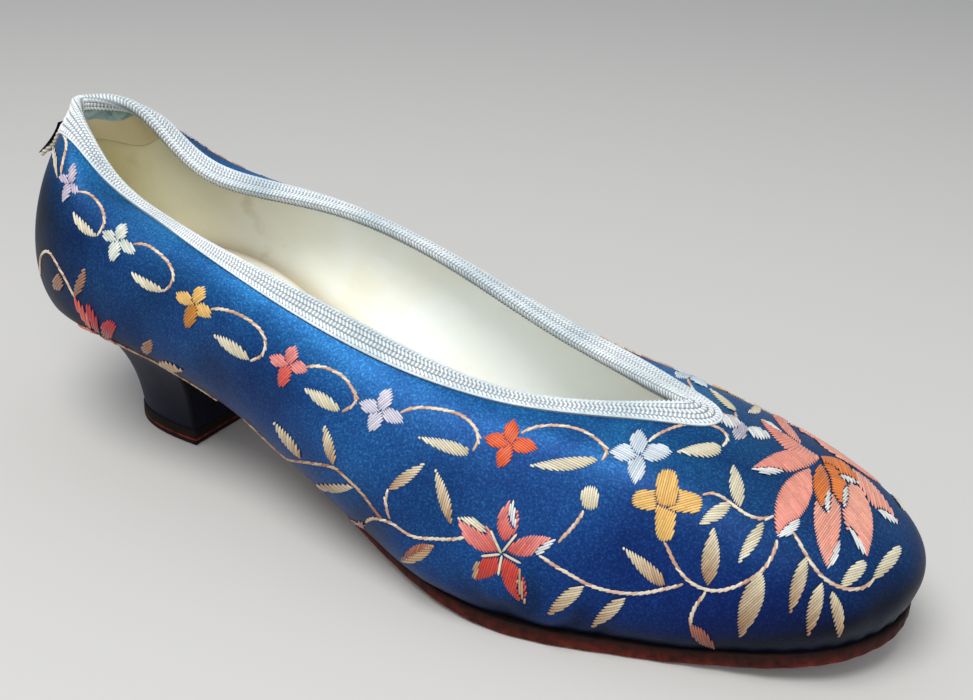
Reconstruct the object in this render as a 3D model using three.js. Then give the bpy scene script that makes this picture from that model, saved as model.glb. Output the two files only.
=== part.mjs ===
import * as THREE from "three";

// A slip-on shoe with a covered heel, in millimetres: toe to +X, left side to +Y, up is +Z.
// The last comes from the main sizes below and from tables of shares of them.

// Main sizes
const FEATHER_LENGTH = 230.4;
const BALL_WIDTH = 70;
const HEEL_HEIGHT = 31.6;
const THROAT_HEIGHT = 45.5;
const BACK_HEIGHT = 83.4;
const THROAT_ALONG = 184.7;
const COLLAR_BACK = 9.2;

// Thicknesses and spaces
const WALL = 1.3;
const SOLE_THICKNESS = 3.5;
const INSOLE_THICKNESS = 1.8;
const TOP_PIECE_THICKNESS = 4.4;
const BRAID_THICKNESS = 0.8;
const FACING_THICKNESS = 0.5;
const TAB_THICKNESS = 1.2;
const GAP = 0.3;

// Feather line, where the upper meets the sole
const FEATHER_BACK = 4.4;
const HEEL_END_RADIUS = 25.8;
const TOE_END_RADIUS = 21.4;
const SIDE_SWING = 4.9;
const SOLE_MARGIN = 1;
const INSOLE_INSET = WALL + 0.7;

// Half widths as shares of half the ball width, along the feather line from the back
const FEATHER_OUTLINE = [
  { along: 0.13, halfWidth: 0.83 },
  { along: 0.38, halfWidth: 0.70 },
  { along: 0.69, halfWidth: 1.00 },
  { along: 0.87, halfWidth: 0.705 },
];

// Height of the feather line above its lowest place, as shares of the heel height
const FEATHER_HEIGHTS = [
  { along: 0, height: 1 },
  { along: 0.25, height: 0.885 },
  { along: 0.4, height: 0.45 },
  { along: 0.55, height: 0.11 },
  { along: 0.68, height: 0 },
  { along: 0.82, height: 0 },
  { along: 1, height: 0.215 },
];

// The leather sole, from the heel breast to the toe: its edge beyond the feather line as shares of
// the margin, and its thickness as shares of the full thickness
const SOLE_SECTIONS = [
  { along: 0.25, margin: -2.5, thickness: 0.55 },
  { along: 0.4, margin: -2.5, thickness: 0.55 },
  { along: 0.54, margin: -0.8, thickness: 0.78 },
  { along: 0.66, margin: 1, thickness: 1 },
  { along: 0.85, margin: 1, thickness: 1 },
  { along: 1, margin: 1, thickness: 1 },
];

// The collar from the throat to the back: half width as a share of half the ball width,
// and height as a share of the way from the throat up to the back
const COLLAR_LINE = [
  { along: 0, height: 0 },
  { along: 0.1, halfWidth: 0.258 },
  { along: 0.2, height: -0.03 },
  { along: 0.25, halfWidth: 0.495 },
  { along: 0.4, height: 0.21 },
  { along: 0.45, halfWidth: 0.607 },
  { along: 0.6, height: 0.4 },
  { along: 0.65, halfWidth: 0.534 },
  { along: 0.75, height: 0.455 },
  { along: 0.82, halfWidth: 0.34 },
  { along: 0.87, height: 0.66 },
  { along: 0.94, halfWidth: 0.235 },
  { along: 0.95, height: 0.98 },
  { along: 1, height: 1 },
];
const COLLAR_BACK_FULLNESS = 0.4;
const COLLAR_SWING = 2.2;
const COLLAR_HALF_WIDTH = BALL_WIDTH / 4;

// How the upper leaves the sole and reaches the collar, from the toe round to the back:
// turn is a share of the half turn, the rest are millimetres
const UPPER_SECTIONS = [
  { turn: 0, flare: 10, rise: 19.6, spread: 37, drop: 15.2 },
  { turn: 0.22, flare: 9.9, rise: 11.6, spread: 19.3, drop: -3 },
  { turn: 0.5, flare: 13.9, rise: 11.5, spread: 12, drop: -1.2 },
  { turn: 0.78, flare: 7.3, rise: 12.5, spread: 15, drop: -6.5 },
  { turn: 1, flare: 7.8, rise: 15.8, spread: 0, drop: 20.5 },
];

// Braid, facing and tab
const BRAID_WIDTH = 6;
const BRAID_POINT = 2.4;
const BRAID_POINT_SHARPNESS = 40;
const BRAID_INSIDE = 3.4;
const BRAID_FOLD = 0.9;
const FOLD_ROUNDING = 0.4;
const RIM_DEPTH = BRAID_FOLD + GAP;
const FACING_TOP = BRAID_INSIDE + GAP;
const FACING_BOTTOM = 12;
const FACING_REACH = 11;
const TAB_WIDTH = 12;
const TAB_LENGTH = 15;
const TAB_LEAN = 8;
const TAB_LEAN_CURVE = 1.2;
const TAB_TIP_TAPER = 0.35;
const TAB_TIP_ROUNDING = 4;

// Heel
const BREAST_TOP_ALONG = 0.25;
const BREAST_FOOT = 56;
const HEEL_FOOT_BACK = 28.5;
const HEEL_FOOT_WIDTH = 31;
const HEEL_FOOT_SIDE = 0;
const HEEL_FOOT_BACK_SQUARENESS = 0.8;
const HEEL_FOOT_SIDE_SQUARENESS = 0.75;
const HEEL_INSET = 0.2;
const TOP_PIECE_TAPER = 0.5;
const HEEL_SIDE_SECTIONS = [
  { up: 0, spread: 0 },
  { up: 0.2, spread: 0.05 },
  { up: 0.4, spread: 0.14 },
  { up: 0.6, spread: 0.30 },
  { up: 0.8, spread: 0.57 },
  { up: 0.92, spread: 0.82 },
  { up: 1, spread: 1 },
];

// Mesh steps
const COLUMNS = 96;
const BODY_ROWS = 9;
const HEEL_COLUMNS = 33;
const SOLE_COLUMNS = 81;
const TAB_ROWS = 7;
const TAB_COLUMNS = 5;
const HALF_TURN = Math.PI;
const ANGLE_STEP = 0.02;
const ROW_STEP = 0.01;

// A smooth curve through the rows of a table, by a cubic spline
function curveThrough(table, fromColumn, toColumn, flatEnds) {
  const rows = table.filter((row) => row[toColumn] !== undefined);
  const at = rows.map((row) => row[fromColumn]);
  const value = rows.map((row) => row[toColumn]);
  const last = at.length - 1;
  const span = at.slice(1).map((x, i) => x - at[i]);
  const slope = span.map((width, i) => (value[i + 1] - value[i]) / width);
  const diagonal = at.map((x, i) => (i === 0 || i === last ? 1 : 2 * (span[i - 1] + span[i])));
  const right = at.map((x, i) => (i === 0 || i === last ? 0 : 6 * (slope[i] - slope[i - 1])));
  const before = at.map((x, i) => (i === 0 || i === last ? 0 : span[i - 1]));
  const after = at.map((x, i) => (i === 0 || i === last ? 0 : span[i]));
  if (flatEnds) {
    diagonal[0] = 2 * span[0];
    after[0] = span[0];
    right[0] = 6 * slope[0];
    diagonal[last] = 2 * span[last - 1];
    before[last] = span[last - 1];
    right[last] = -6 * slope[last - 1];
  }
  for (let i = 1; i <= last; i += 1) {
    const factor = before[i] / diagonal[i - 1];
    diagonal[i] -= factor * after[i - 1];
    right[i] -= factor * right[i - 1];
  }
  const bend = new Array(last + 1).fill(0);
  bend[last] = right[last] / diagonal[last];
  for (let i = last - 1; i >= 0; i -= 1) {
    bend[i] = (right[i] - after[i] * bend[i + 1]) / diagonal[i];
  }
  return (x) => {
    let i = 0;
    while (i < last - 1 && x > at[i + 1]) {
      i += 1;
    }
    const toNext = at[i + 1] - x;
    const fromHere = x - at[i];
    const width = span[i];
    const curved = (bend[i] * toNext ** 3 + bend[i + 1] * fromHere ** 3) / (6 * width);
    const lower = (value[i] / width - (bend[i] * width) / 6) * toNext;
    const upper = (value[i + 1] / width - (bend[i + 1] * width) / 6) * fromHere;
    return curved + lower + upper;
  };
}

// Half widths of a long closed outline, kept round at both ends
function fullnessCurve(table, length, startRadius, endRadius, halfUnit) {
  const rows = [{ along: 0, fullness: Math.sqrt((startRadius * length) / 2) }];
  for (const row of table.filter((each) => each.halfWidth !== undefined)) {
    const roundness = 2 * Math.sqrt(row.along * (1 - row.along));
    rows.push({ along: row.along, fullness: (row.halfWidth * halfUnit) / roundness });
  }
  rows.push({ along: 1, fullness: Math.sqrt((endRadius * length) / 2) });
  return curveThrough(rows, "along", "fullness", false);
}

const featherFullness = fullnessCurve(
  FEATHER_OUTLINE, FEATHER_LENGTH, HEEL_END_RADIUS, TOE_END_RADIUS, BALL_WIDTH / 2,
);
const featherHeight = curveThrough(FEATHER_HEIGHTS, "along", "height", false);
const sectionCurves = {};
for (const column of ["flare", "rise", "spread", "drop"]) {
  sectionCurves[column] = curveThrough(UPPER_SECTIONS, "turn", column, true);
}

// The collar pinches to a point at the throat, so its fullness also holds the root of the way along
function collarFullnessCurve() {
  const rows = [];
  for (const { along, halfWidth } of COLLAR_LINE.filter((row) => row.halfWidth !== undefined)) {
    const roundness = 2 * Math.sqrt(along * (1 - along)) * Math.sqrt(along);
    rows.push({ along, fullness: (halfWidth * BALL_WIDTH) / 2 / roundness });
  }
  rows.unshift({ along: 0, fullness: rows[0].fullness });
  rows.push({ along: 1, fullness: (COLLAR_BACK_FULLNESS * BALL_WIDTH) / 2 });
  return curveThrough(rows, "along", "fullness", false);
}

const collarFullness = collarFullnessCurve();
const collarHeight = curveThrough(COLLAR_LINE, "along", "height", false);

function centreLine(x) {
  const share = (x - FEATHER_BACK) / FEATHER_LENGTH;
  return -SIDE_SWING * 4 * share * (1 - share);
}

function soleTop(share) {
  return SOLE_THICKNESS + HEEL_HEIGHT * Math.max(0, featherHeight(share));
}

function featherPoint(angle, margin = 0) {
  const share = (1 + Math.cos(angle)) / 2;
  const x = FEATHER_BACK + FEATHER_LENGTH * share;
  const halfWidth = featherFullness(share) * Math.sin(angle);
  const out = outwardFrom(BALL_WIDTH / 2, FEATHER_LENGTH / 2, angle);
  return new THREE.Vector3(x + out.x * margin, centreLine(x) + halfWidth + out.y * margin, 0);
}

function outwardFrom(halfWidth, halfLength, angle) {
  const out = new THREE.Vector3(halfWidth * Math.cos(angle), halfLength * Math.sin(angle), 0);
  return out.normalize();
}

function collarPoint(angle) {
  const share = (1 - Math.cos(angle)) / 2;
  const x = THROAT_ALONG + (COLLAR_BACK - THROAT_ALONG) * share;
  const y = Math.sin(angle) * Math.sqrt(share) * collarFullness(share);
  const z = THROAT_HEIGHT + (BACK_HEIGHT - THROAT_HEIGHT) * collarHeight(share);
  const swing = COLLAR_SWING * Math.sin(HALF_TURN * share);
  return new THREE.Vector3(x, centreLine(x) + swing + y, z);
}

// Outer face of the upper: row 0 is at the sole and row 1 at the top of the braid
function upperPoint(angle, row) {
  const halfTurns = Math.abs(angle) / HALF_TURN;
  const turn = halfTurns > 1 ? 2 - halfTurns : halfTurns;
  const foot = featherPoint(angle);
  foot.z = soleTop((1 + Math.cos(angle)) / 2) + GAP;
  const top = collarPoint(angle);
  const footOut = outwardFrom(BALL_WIDTH / 2, FEATHER_LENGTH / 2, angle);
  const topOut = outwardFrom(COLLAR_HALF_WIDTH, (THROAT_ALONG - COLLAR_BACK) / 2, angle);
  const lower = foot.clone().addScaledVector(footOut, sectionCurves.flare(turn));
  lower.z += sectionCurves.rise(turn);
  const upper = top.clone().addScaledVector(topOut, sectionCurves.spread(turn));
  upper.z -= sectionCurves.drop(turn);
  const rest = 1 - row;
  return foot.multiplyScalar(rest ** 3)
    .addScaledVector(lower, 3 * rest * rest * row)
    .addScaledVector(upper, 3 * rest * row * row)
    .addScaledVector(top, row ** 3);
}

function upperNormal(angle, row) {
  const rowBelow = Math.max(0, row - ROW_STEP);
  const rowAbove = Math.min(1, row + ROW_STEP);
  const round = upperPoint(angle + ANGLE_STEP, row).sub(upperPoint(angle - ANGLE_STEP, row));
  const up = upperPoint(angle, rowAbove).sub(upperPoint(angle, rowBelow));
  return round.cross(up).normalize();
}

// The row that lies a given distance below the top edge
function rowAtDepth(angle, depth) {
  const step = upperPoint(angle, 1).distanceTo(upperPoint(angle, 1 - ROW_STEP));
  return 1 - (depth * ROW_STEP) / step;
}

function offUpper(angle, row, distance) {
  return upperPoint(angle, row).addScaledVector(upperNormal(angle, row), distance);
}

// The braid is wider at the throat, where its two sides meet in a mitred point
function braidWidth(angle) {
  const nearThroat = ((1 + Math.cos(angle)) / 2) ** BRAID_POINT_SHARPNESS;
  return BRAID_WIDTH + BRAID_POINT * nearThroat;
}

function columnAngle(column) {
  return (2 * HALF_TURN * column) / COLUMNS;
}

function everyColumn(makePoint) {
  const points = [];
  for (let column = 0; column < COLUMNS; column += 1) {
    points.push(makePoint(columnAngle(column)));
  }
  return points;
}

function namedMesh(name, points, faces, color, roughness) {
  const geometry = new THREE.BufferGeometry();
  const positions = points.flatMap((point) => [point.x, point.y, point.z]);
  geometry.setAttribute("position", new THREE.Float32BufferAttribute(positions, 3));
  geometry.setIndex(faces.flat());
  geometry.computeVertexNormals();
  const material = new THREE.MeshStandardMaterial({ color, roughness, metalness: 0 });
  const mesh = new THREE.Mesh(geometry, material);
  mesh.name = name;
  return mesh;
}

function addQuad(faces, a, b, c, d) {
  faces.push([a, b, c], [a, c, d]);
}

// A sheet with a front and a back, each a list of rows of points, closed round its borders
function thickSheet(front, back, goesRound) {
  const columns = front[0].length;
  const rows = front.length;
  const points = [...front.flat(), ...back.flat()];
  const backStart = rows * columns;
  const faces = [];
  const spans = goesRound ? columns : columns - 1;
  for (let column = 0; column < spans; column += 1) {
    const next = (column + 1) % columns;
    for (let row = 0; row < rows - 1; row += 1) {
      const low = row * columns;
      const high = low + columns;
      addQuad(faces, low + column, low + next, high + next, high + column);
      addQuad(
        faces, backStart + low + column, backStart + high + column,
        backStart + high + next, backStart + low + next,
      );
    }
    const top = (rows - 1) * columns;
    addQuad(faces, next, column, backStart + column, backStart + next);
    addQuad(faces, top + column, top + next, backStart + top + next, backStart + top + column);
  }
  if (!goesRound) {
    for (let row = 0; row < rows - 1; row += 1) {
      const low = row * columns;
      const high = low + columns;
      const end = columns - 1;
      addQuad(faces, backStart + low, low, high, backStart + high);
      addQuad(faces, low + end, backStart + low + end, backStart + high + end, high + end);
    }
  }
  return { points, faces };
}

// Rings of points from the bottom up, each filled straight across between its left and right
// sides. A ring starts on the centre line, or at the left end of a straight front edge.
function stackedRings(rings, startsOnCentre) {
  const count = rings[0].length;
  const partner = (column) => (startsOnCentre ? (count - column) % count : count - 1 - column);
  const faces = [];
  for (let ring = 0; ring < rings.length - 1; ring += 1) {
    for (let column = 0; column < count; column += 1) {
      const next = (column + 1) % count;
      const low = ring * count;
      addQuad(faces, low + column, low + next, low + count + next, low + count + column);
    }
  }
  const top = (rings.length - 1) * count;
  for (let column = 0; column < Math.floor(count / 2); column += 1) {
    const strip = [column, column + 1, partner(column + 1), partner(column)];
    const corners = strip.filter((corner, i) => strip.indexOf(corner) === i);
    for (let i = 1; i < corners.length - 1; i += 1) {
      faces.push([top + corners[0], top + corners[i], top + corners[i + 1]]);
      faces.push([corners[0], corners[i + 1], corners[i]]);
    }
  }
  return { points: rings.flat(), faces };
}

// The upper: one wall all round, open at the collar and underneath
function makeUpper() {
  const outer = [];
  const inner = [];
  for (let row = 0; row < BODY_ROWS; row += 1) {
    const share = row / BODY_ROWS;
    const rowHere = (angle) => share * rowAtDepth(angle, FACING_BOTTOM);
    outer.push(everyColumn((angle) => upperPoint(angle, rowHere(angle))));
    inner.push(everyColumn((angle) => {
      const point = offUpper(angle, rowHere(angle), -WALL);
      const floor = upperPoint(angle, 0).z;
      point.z = Math.max(point.z, floor);
      return point;
    }));
  }
  const depthsNearTop = [
    () => FACING_BOTTOM,
    (angle) => braidWidth(angle),
    (angle) => braidWidth(angle) / 2,
    () => RIM_DEPTH,
  ];
  for (const depthAt of depthsNearTop) {
    const rowHere = (angle) => rowAtDepth(angle, depthAt(angle));
    outer.push(everyColumn((angle) => upperPoint(angle, rowHere(angle))));
    inner.push(everyColumn((angle) => offUpper(angle, rowHere(angle), -WALL)));
  }
  const { points, faces } = thickSheet(outer, inner, true);
  return namedMesh("upper", points, faces, 0x1f4f8f, 0.5);
}

// A sole from the breast of the heel to the toe, following the arch and the toe spring
function makeOutsole() {
  const marginAt = curveThrough(SOLE_SECTIONS, "along", "margin", false);
  const thicknessAt = curveThrough(SOLE_SECTIONS, "along", "thickness", false);
  const rearAngle = Math.acos(2 * BREAST_TOP_ALONG - 1) - GAP / BALL_WIDTH;
  const top = [];
  const bottom = [];
  for (let column = 0; column < SOLE_COLUMNS; column += 1) {
    const angle = rearAngle * ((2 * column) / (SOLE_COLUMNS - 1) - 1);
    const share = (1 + Math.cos(angle)) / 2;
    const point = featherPoint(angle, SOLE_MARGIN * marginAt(share));
    const height = soleTop((point.x - FEATHER_BACK) / FEATHER_LENGTH);
    top.push(point.clone().setZ(height));
    bottom.push(point.clone().setZ(height - SOLE_THICKNESS * Math.min(1, thicknessAt(share))));
  }
  const { points, faces } = stackedRings([bottom, top], false);
  return namedMesh("outsole", points, faces, 0x6b3a22, 0.8);
}

function makeInsole() {
  const rings = [0, INSOLE_THICKNESS].map((rise) => everyColumn((angle) => {
    const point = featherPoint(angle, -INSOLE_INSET);
    const share = (point.x - FEATHER_BACK) / FEATHER_LENGTH;
    point.z = soleTop(share) + GAP + rise;
    return point;
  }));
  const { points, faces } = stackedRings(rings, true);
  return namedMesh("insole", points, faces, 0xd8cdb2, 0.9);
}

// Foot of the heel, from its left front corner round the back to its right front corner
function heelFootPoint(share, taper) {
  const across = Math.cos(HALF_TURN * share);
  const backward = Math.sin(HALF_TURN * share);
  const depth = BREAST_FOOT - HEEL_FOOT_BACK - 2 * taper;
  const x = BREAST_FOOT - taper - depth * backward ** HEEL_FOOT_BACK_SQUARENESS;
  const side = Math.sign(across) * Math.abs(across) ** HEEL_FOOT_SIDE_SQUARENESS;
  const y = (HEEL_FOOT_WIDTH / 2 - taper) * side;
  return new THREE.Vector3(x, HEEL_FOOT_SIDE + y, 0);
}

function makeHeel() {
  const startAngle = Math.acos(2 * BREAST_TOP_ALONG - 1);
  const spreadAt = curveThrough(HEEL_SIDE_SECTIONS, "up", "spread", false);
  const rings = HEEL_SIDE_SECTIONS.map(({ up }) => {
    const ring = [];
    for (let column = 0; column < HEEL_COLUMNS; column += 1) {
      const share = column / (HEEL_COLUMNS - 1);
      const angle = startAngle + (2 * HALF_TURN - 2 * startAngle) * share;
      const top = featherPoint(angle, -HEEL_INSET);
      top.z = soleTop((top.x - FEATHER_BACK) / FEATHER_LENGTH);
      const foot = heelFootPoint(share, TOP_PIECE_TAPER);
      foot.z = TOP_PIECE_THICKNESS + GAP;
      const height = foot.z + (top.z - foot.z) * up;
      const point = foot.clone().lerp(top, spreadAt(up));
      point.z = height;
      ring.push(point);
    }
    return ring;
  });
  const { points, faces } = stackedRings(rings, false);
  return namedMesh("heel", points, faces, 0x10141f, 0.6);
}

function makeHeelTopPiece() {
  const rings = [0, TOP_PIECE_THICKNESS].map((height) => {
    const ring = [];
    for (let column = 0; column < HEEL_COLUMNS; column += 1) {
      const point = heelFootPoint(column / (HEEL_COLUMNS - 1), 0);
      point.z = height;
      ring.push(point);
    }
    return ring;
  });
  const { points, faces } = stackedRings(rings, false);
  return namedMesh("heel_top_piece", points, faces, 0x4a2616, 0.8);
}

// A braid folded over the collar's edge
function makeCollarBinding() {
  const outerFace = GAP + BRAID_THICKNESS;
  const innerFace = -(WALL + GAP + BRAID_THICKNESS);
  const lining = -(WALL + GAP);
  const skin = [];
  const underside = [];
  const addRow = (skinDepth, skinOut, underDepth, underOut) => {
    skin.push(everyColumn((a) => offUpper(a, rowAtDepth(a, skinDepth(a)), skinOut)));
    underside.push(everyColumn((a) => offUpper(a, rowAtDepth(a, underDepth(a)), underOut)));
  };
  const half = (angle) => braidWidth(angle) / 2;
  const inside = () => BRAID_INSIDE;
  const edge = () => 0;
  const round = () => FOLD_ROUNDING;
  const fold = () => BRAID_FOLD;
  addRow(braidWidth, outerFace, braidWidth, GAP);
  addRow(half, outerFace, half, GAP);
  addRow(round, outerFace - FOLD_ROUNDING / 2, fold, GAP);
  addRow(edge, -WALL / 2, fold, -WALL / 2);
  addRow(round, innerFace + FOLD_ROUNDING / 2, fold, lining);
  addRow(inside, innerFace, inside, lining);
  const { points, faces } = thickSheet(skin, underside, true);
  return namedMesh("collar_binding", points, faces, 0xc3d3dc, 0.85);
}

// A ribbon against the inside of the back
function makeCollarFacing() {
  const middle = COLUMNS / 2;
  const at = (depth, out) => {
    const points = [];
    for (let column = middle - FACING_REACH; column <= middle + FACING_REACH; column += 1) {
      const angle = columnAngle(column);
      points.push(offUpper(angle, rowAtDepth(angle, depth), out));
    }
    return points;
  };
  const depths = [FACING_BOTTOM, BRAID_WIDTH, FACING_TOP];
  const front = depths.map((depth) => at(depth, -(WALL + GAP)));
  const back = depths.map((depth) => at(depth, -(WALL + GAP + FACING_THICKNESS)));
  const { points, faces } = thickSheet(front, back, false);
  return namedMesh("collar_facing", points, faces, 0x9fb8b8, 0.8);
}

// A short flap that hangs from the braid at the back
function makeBackTab() {
  const front = [];
  const back = [];
  for (let row = 0; row < TAB_ROWS; row += 1) {
    const share = 1 - row / (TAB_ROWS - 1);
    const width = TAB_WIDTH * Math.sqrt(1 - TAB_TIP_TAPER * share ** TAB_TIP_ROUNDING);
    const depth = BRAID_WIDTH + GAP + TAB_LENGTH * share;
    const standOff = 2 * GAP + TAB_LEAN * share ** TAB_LEAN_CURVE;
    const { x, y, z } = offUpper(HALF_TURN, rowAtDepth(HALF_TURN, depth), standOff);
    const line = (shift) => Array.from({ length: TAB_COLUMNS }, (unused, column) => {
      const across = 0.5 - column / (TAB_COLUMNS - 1);
      return new THREE.Vector3(x - shift, y + width * across, z);
    });
    front.push(line(TAB_THICKNESS));
    back.push(line(0));
  }
  const { points, faces } = thickSheet(front, back, false);
  return namedMesh("back_tab", points, faces, 0x131c38, 0.6);
}

const pieces = new THREE.Group();
pieces.add(
  makeUpper(), makeOutsole(), makeInsole(), makeHeel(), makeHeelTopPiece(),
  makeCollarBinding(), makeCollarFacing(), makeBackTab(),
);
const box = new THREE.Box3().setFromObject(pieces);
const middle = box.getCenter(new THREE.Vector3());
pieces.position.set(-middle.x, -middle.y, -box.min.z);

const group = new THREE.Group();
group.name = "embroidered_heeled_shoe";
group.add(pieces);

export default group;
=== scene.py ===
import math

import bpy
import numpy as np
from mathutils import Matrix, Vector, kdtree


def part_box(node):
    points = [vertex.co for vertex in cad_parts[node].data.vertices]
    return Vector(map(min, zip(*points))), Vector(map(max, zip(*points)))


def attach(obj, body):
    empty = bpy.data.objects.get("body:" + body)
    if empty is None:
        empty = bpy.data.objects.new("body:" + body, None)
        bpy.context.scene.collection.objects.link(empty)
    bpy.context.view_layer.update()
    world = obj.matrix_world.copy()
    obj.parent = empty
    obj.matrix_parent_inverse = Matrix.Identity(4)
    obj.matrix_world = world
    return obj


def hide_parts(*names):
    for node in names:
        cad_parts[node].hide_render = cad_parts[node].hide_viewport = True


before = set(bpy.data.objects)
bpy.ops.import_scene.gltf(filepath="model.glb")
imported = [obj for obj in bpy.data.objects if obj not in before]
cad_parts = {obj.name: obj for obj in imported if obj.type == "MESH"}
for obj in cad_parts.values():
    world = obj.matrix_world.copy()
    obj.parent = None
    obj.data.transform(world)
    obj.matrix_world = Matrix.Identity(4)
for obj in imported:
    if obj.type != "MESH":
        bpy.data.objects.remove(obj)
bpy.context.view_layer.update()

# The last
# Sizes are millimetres in the frame of the part's source: toe to +X, left side to +Y, floor at 0.

FEATHER_LENGTH = 230.4
BALL_WIDTH = 70
HEEL_HEIGHT = 31.6
THROAT_HEIGHT = 45.5
BACK_HEIGHT = 83.4
THROAT_ALONG = 184.7
COLLAR_BACK = 9.2
WALL = 1.3
SOLE_THICKNESS = 3.5
INSOLE_THICKNESS = 1.8
TOP_PIECE_THICKNESS = 4.4
GAP = 0.3
FEATHER_BACK = 4.4
HEEL_END_RADIUS = 25.8
TOE_END_RADIUS = 21.4
SIDE_SWING = 4.9
COLLAR_SWING = 2.2
COLLAR_BACK_FULLNESS = 0.4
FEATHER_OUTLINE = {0.13: 0.83, 0.38: 0.70, 0.69: 1.00, 0.87: 0.705}
FEATHER_HEIGHTS = {0: 1, 0.25: 0.885, 0.4: 0.45, 0.55: 0.11, 0.68: 0, 0.82: 0, 1: 0.215}
COLLAR_WIDTHS = {0.1: 0.258, 0.25: 0.495, 0.45: 0.607, 0.65: 0.534, 0.82: 0.34, 0.94: 0.235}
COLLAR_HEIGHTS = {0: 0, 0.2: -0.03, 0.4: 0.21, 0.6: 0.4, 0.75: 0.455, 0.87: 0.66, 0.95: 0.98, 1: 1}
SECTION_TURNS = (0, 0.22, 0.5, 0.78, 1)
UPPER_SECTIONS = {
    "flare": (10, 9.9, 13.9, 7.3, 7.8),
    "rise": (19.6, 11.6, 11.5, 12.5, 15.8),
    "spread": (37, 19.3, 12, 15, 0),
    "drop": (15.2, -3, -1.2, -6.5, 20.5),
}
SOLE_MARGINS = {0.25: -2.5, 0.4: -2.5, 0.54: -0.8, 0.66: 1, 0.85: 1, 1: 1}
SOLE_THICKNESSES = {0.25: 0.55, 0.4: 0.55, 0.54: 0.78, 0.66: 1, 0.85: 1, 1: 1}
BREAST_TOP_ALONG = 0.25
BREAST_FOOT = 56
HEEL_FOOT_BACK = 28.5
HEEL_FOOT_WIDTH = 31
HEEL_SIDE_SPREAD = {0: 0, 0.2: 0.05, 0.4: 0.14, 0.6: 0.3, 0.8: 0.57, 0.92: 0.82, 1: 1}
BRAID_WIDTH = 6
BRAID_POINT = 2.4
BRAID_POINT_SHARPNESS = 40
BRAID_INSIDE = 3.4
FACING_BOTTOM = 12
TAB_WIDTH = 12
TAB_LENGTH = 15
TAB_LEAN = 8
TAB_LEAN_CURVE = 1.2


def curve_through(at, value, flat_ends=False):
    """A cubic spline through a short table."""
    at = np.array(at, float)
    value = np.array(value, float)
    last = len(at) - 1
    span = np.diff(at)
    slope = np.diff(value) / span
    matrix = np.zeros((last + 1, last + 1))
    right = np.zeros(last + 1)
    matrix[0, 0] = matrix[last, last] = 1
    for i in range(1, last):
        matrix[i, i - 1:i + 2] = span[i - 1], 2 * (span[i - 1] + span[i]), span[i]
        right[i] = 6 * (slope[i] - slope[i - 1])
    if flat_ends:
        matrix[0, :2] = 2 * span[0], span[0]
        right[0] = 6 * slope[0]
        matrix[last, last - 1:] = span[last - 1], 2 * span[last - 1]
        right[last] = -6 * slope[last - 1]
    bend = np.linalg.solve(matrix, right)

    def curve(x):
        x = np.asarray(x, float)
        i = np.clip(np.searchsorted(at, x, side="left") - 1, 0, last - 1)
        to_next = at[i + 1] - x
        from_here = x - at[i]
        width = span[i]
        curved = (bend[i] * to_next ** 3 + bend[i + 1] * from_here ** 3) / (6 * width)
        lower = (value[i] / width - bend[i] * width / 6) * to_next
        upper = (value[i + 1] / width - bend[i + 1] * width / 6) * from_here
        return curved + lower + upper

    return curve


def curve_of(table):
    """A curve through a table of places and values."""
    return curve_through(list(table), list(table.values()))


def fullness_curve(widths, roundness, start, end):
    """Half widths over the roundness of a closed outline, so that its ends stay round."""
    at = [0, *widths, 1]
    value = [share * BALL_WIDTH / 2 / roundness(along) for along, share in widths.items()]
    return curve_through(at, [value[0] if start is None else start, *value, end])


def end_fullness(radius):
    return math.sqrt(radius * FEATHER_LENGTH / 2)


feather_fullness = fullness_curve(
    FEATHER_OUTLINE, lambda s: 2 * math.sqrt(s * (1 - s)),
    end_fullness(HEEL_END_RADIUS), end_fullness(TOE_END_RADIUS),
)
collar_fullness = fullness_curve(
    COLLAR_WIDTHS, lambda s: 2 * math.sqrt(s * (1 - s)) * math.sqrt(s),
    None, COLLAR_BACK_FULLNESS * BALL_WIDTH / 2,
)
feather_height = curve_of(FEATHER_HEIGHTS)
collar_height = curve_of(COLLAR_HEIGHTS)
section_curves = {
    name: curve_through(SECTION_TURNS, values, True) for name, values in UPPER_SECTIONS.items()
}


def along_feather(x):
    """Share of the feather line's length at a place along the shoe."""
    return (x - FEATHER_BACK) / FEATHER_LENGTH


def centre_line(x):
    share = along_feather(x)
    return -SIDE_SWING * 4 * share * (1 - share)


def sole_top(share):
    return SOLE_THICKNESS + HEEL_HEIGHT * np.maximum(0, feather_height(share))


def outward_from(half_width, half_length, angle):
    out = np.stack([half_width * np.cos(angle), half_length * np.sin(angle), 0 * angle], -1)
    return out / np.linalg.norm(out, axis=-1, keepdims=True)


def feather_point(angle, margin=0.0):
    share = (1 + np.cos(angle)) / 2
    x = FEATHER_BACK + FEATHER_LENGTH * share
    y = centre_line(x) + feather_fullness(share) * np.sin(angle)
    out = outward_from(BALL_WIDTH / 2, FEATHER_LENGTH / 2, angle)
    return np.stack([x, y, sole_top(share)], -1) + np.asarray(margin)[..., None] * out


def collar_point(angle):
    share = (1 - np.cos(angle)) / 2
    x = THROAT_ALONG + (COLLAR_BACK - THROAT_ALONG) * share
    y = np.sin(angle) * np.sqrt(share) * collar_fullness(share)
    z = THROAT_HEIGHT + (BACK_HEIGHT - THROAT_HEIGHT) * collar_height(share)
    return np.stack([x, centre_line(x) + COLLAR_SWING * np.sin(np.pi * share) + y, z], -1)


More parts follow.
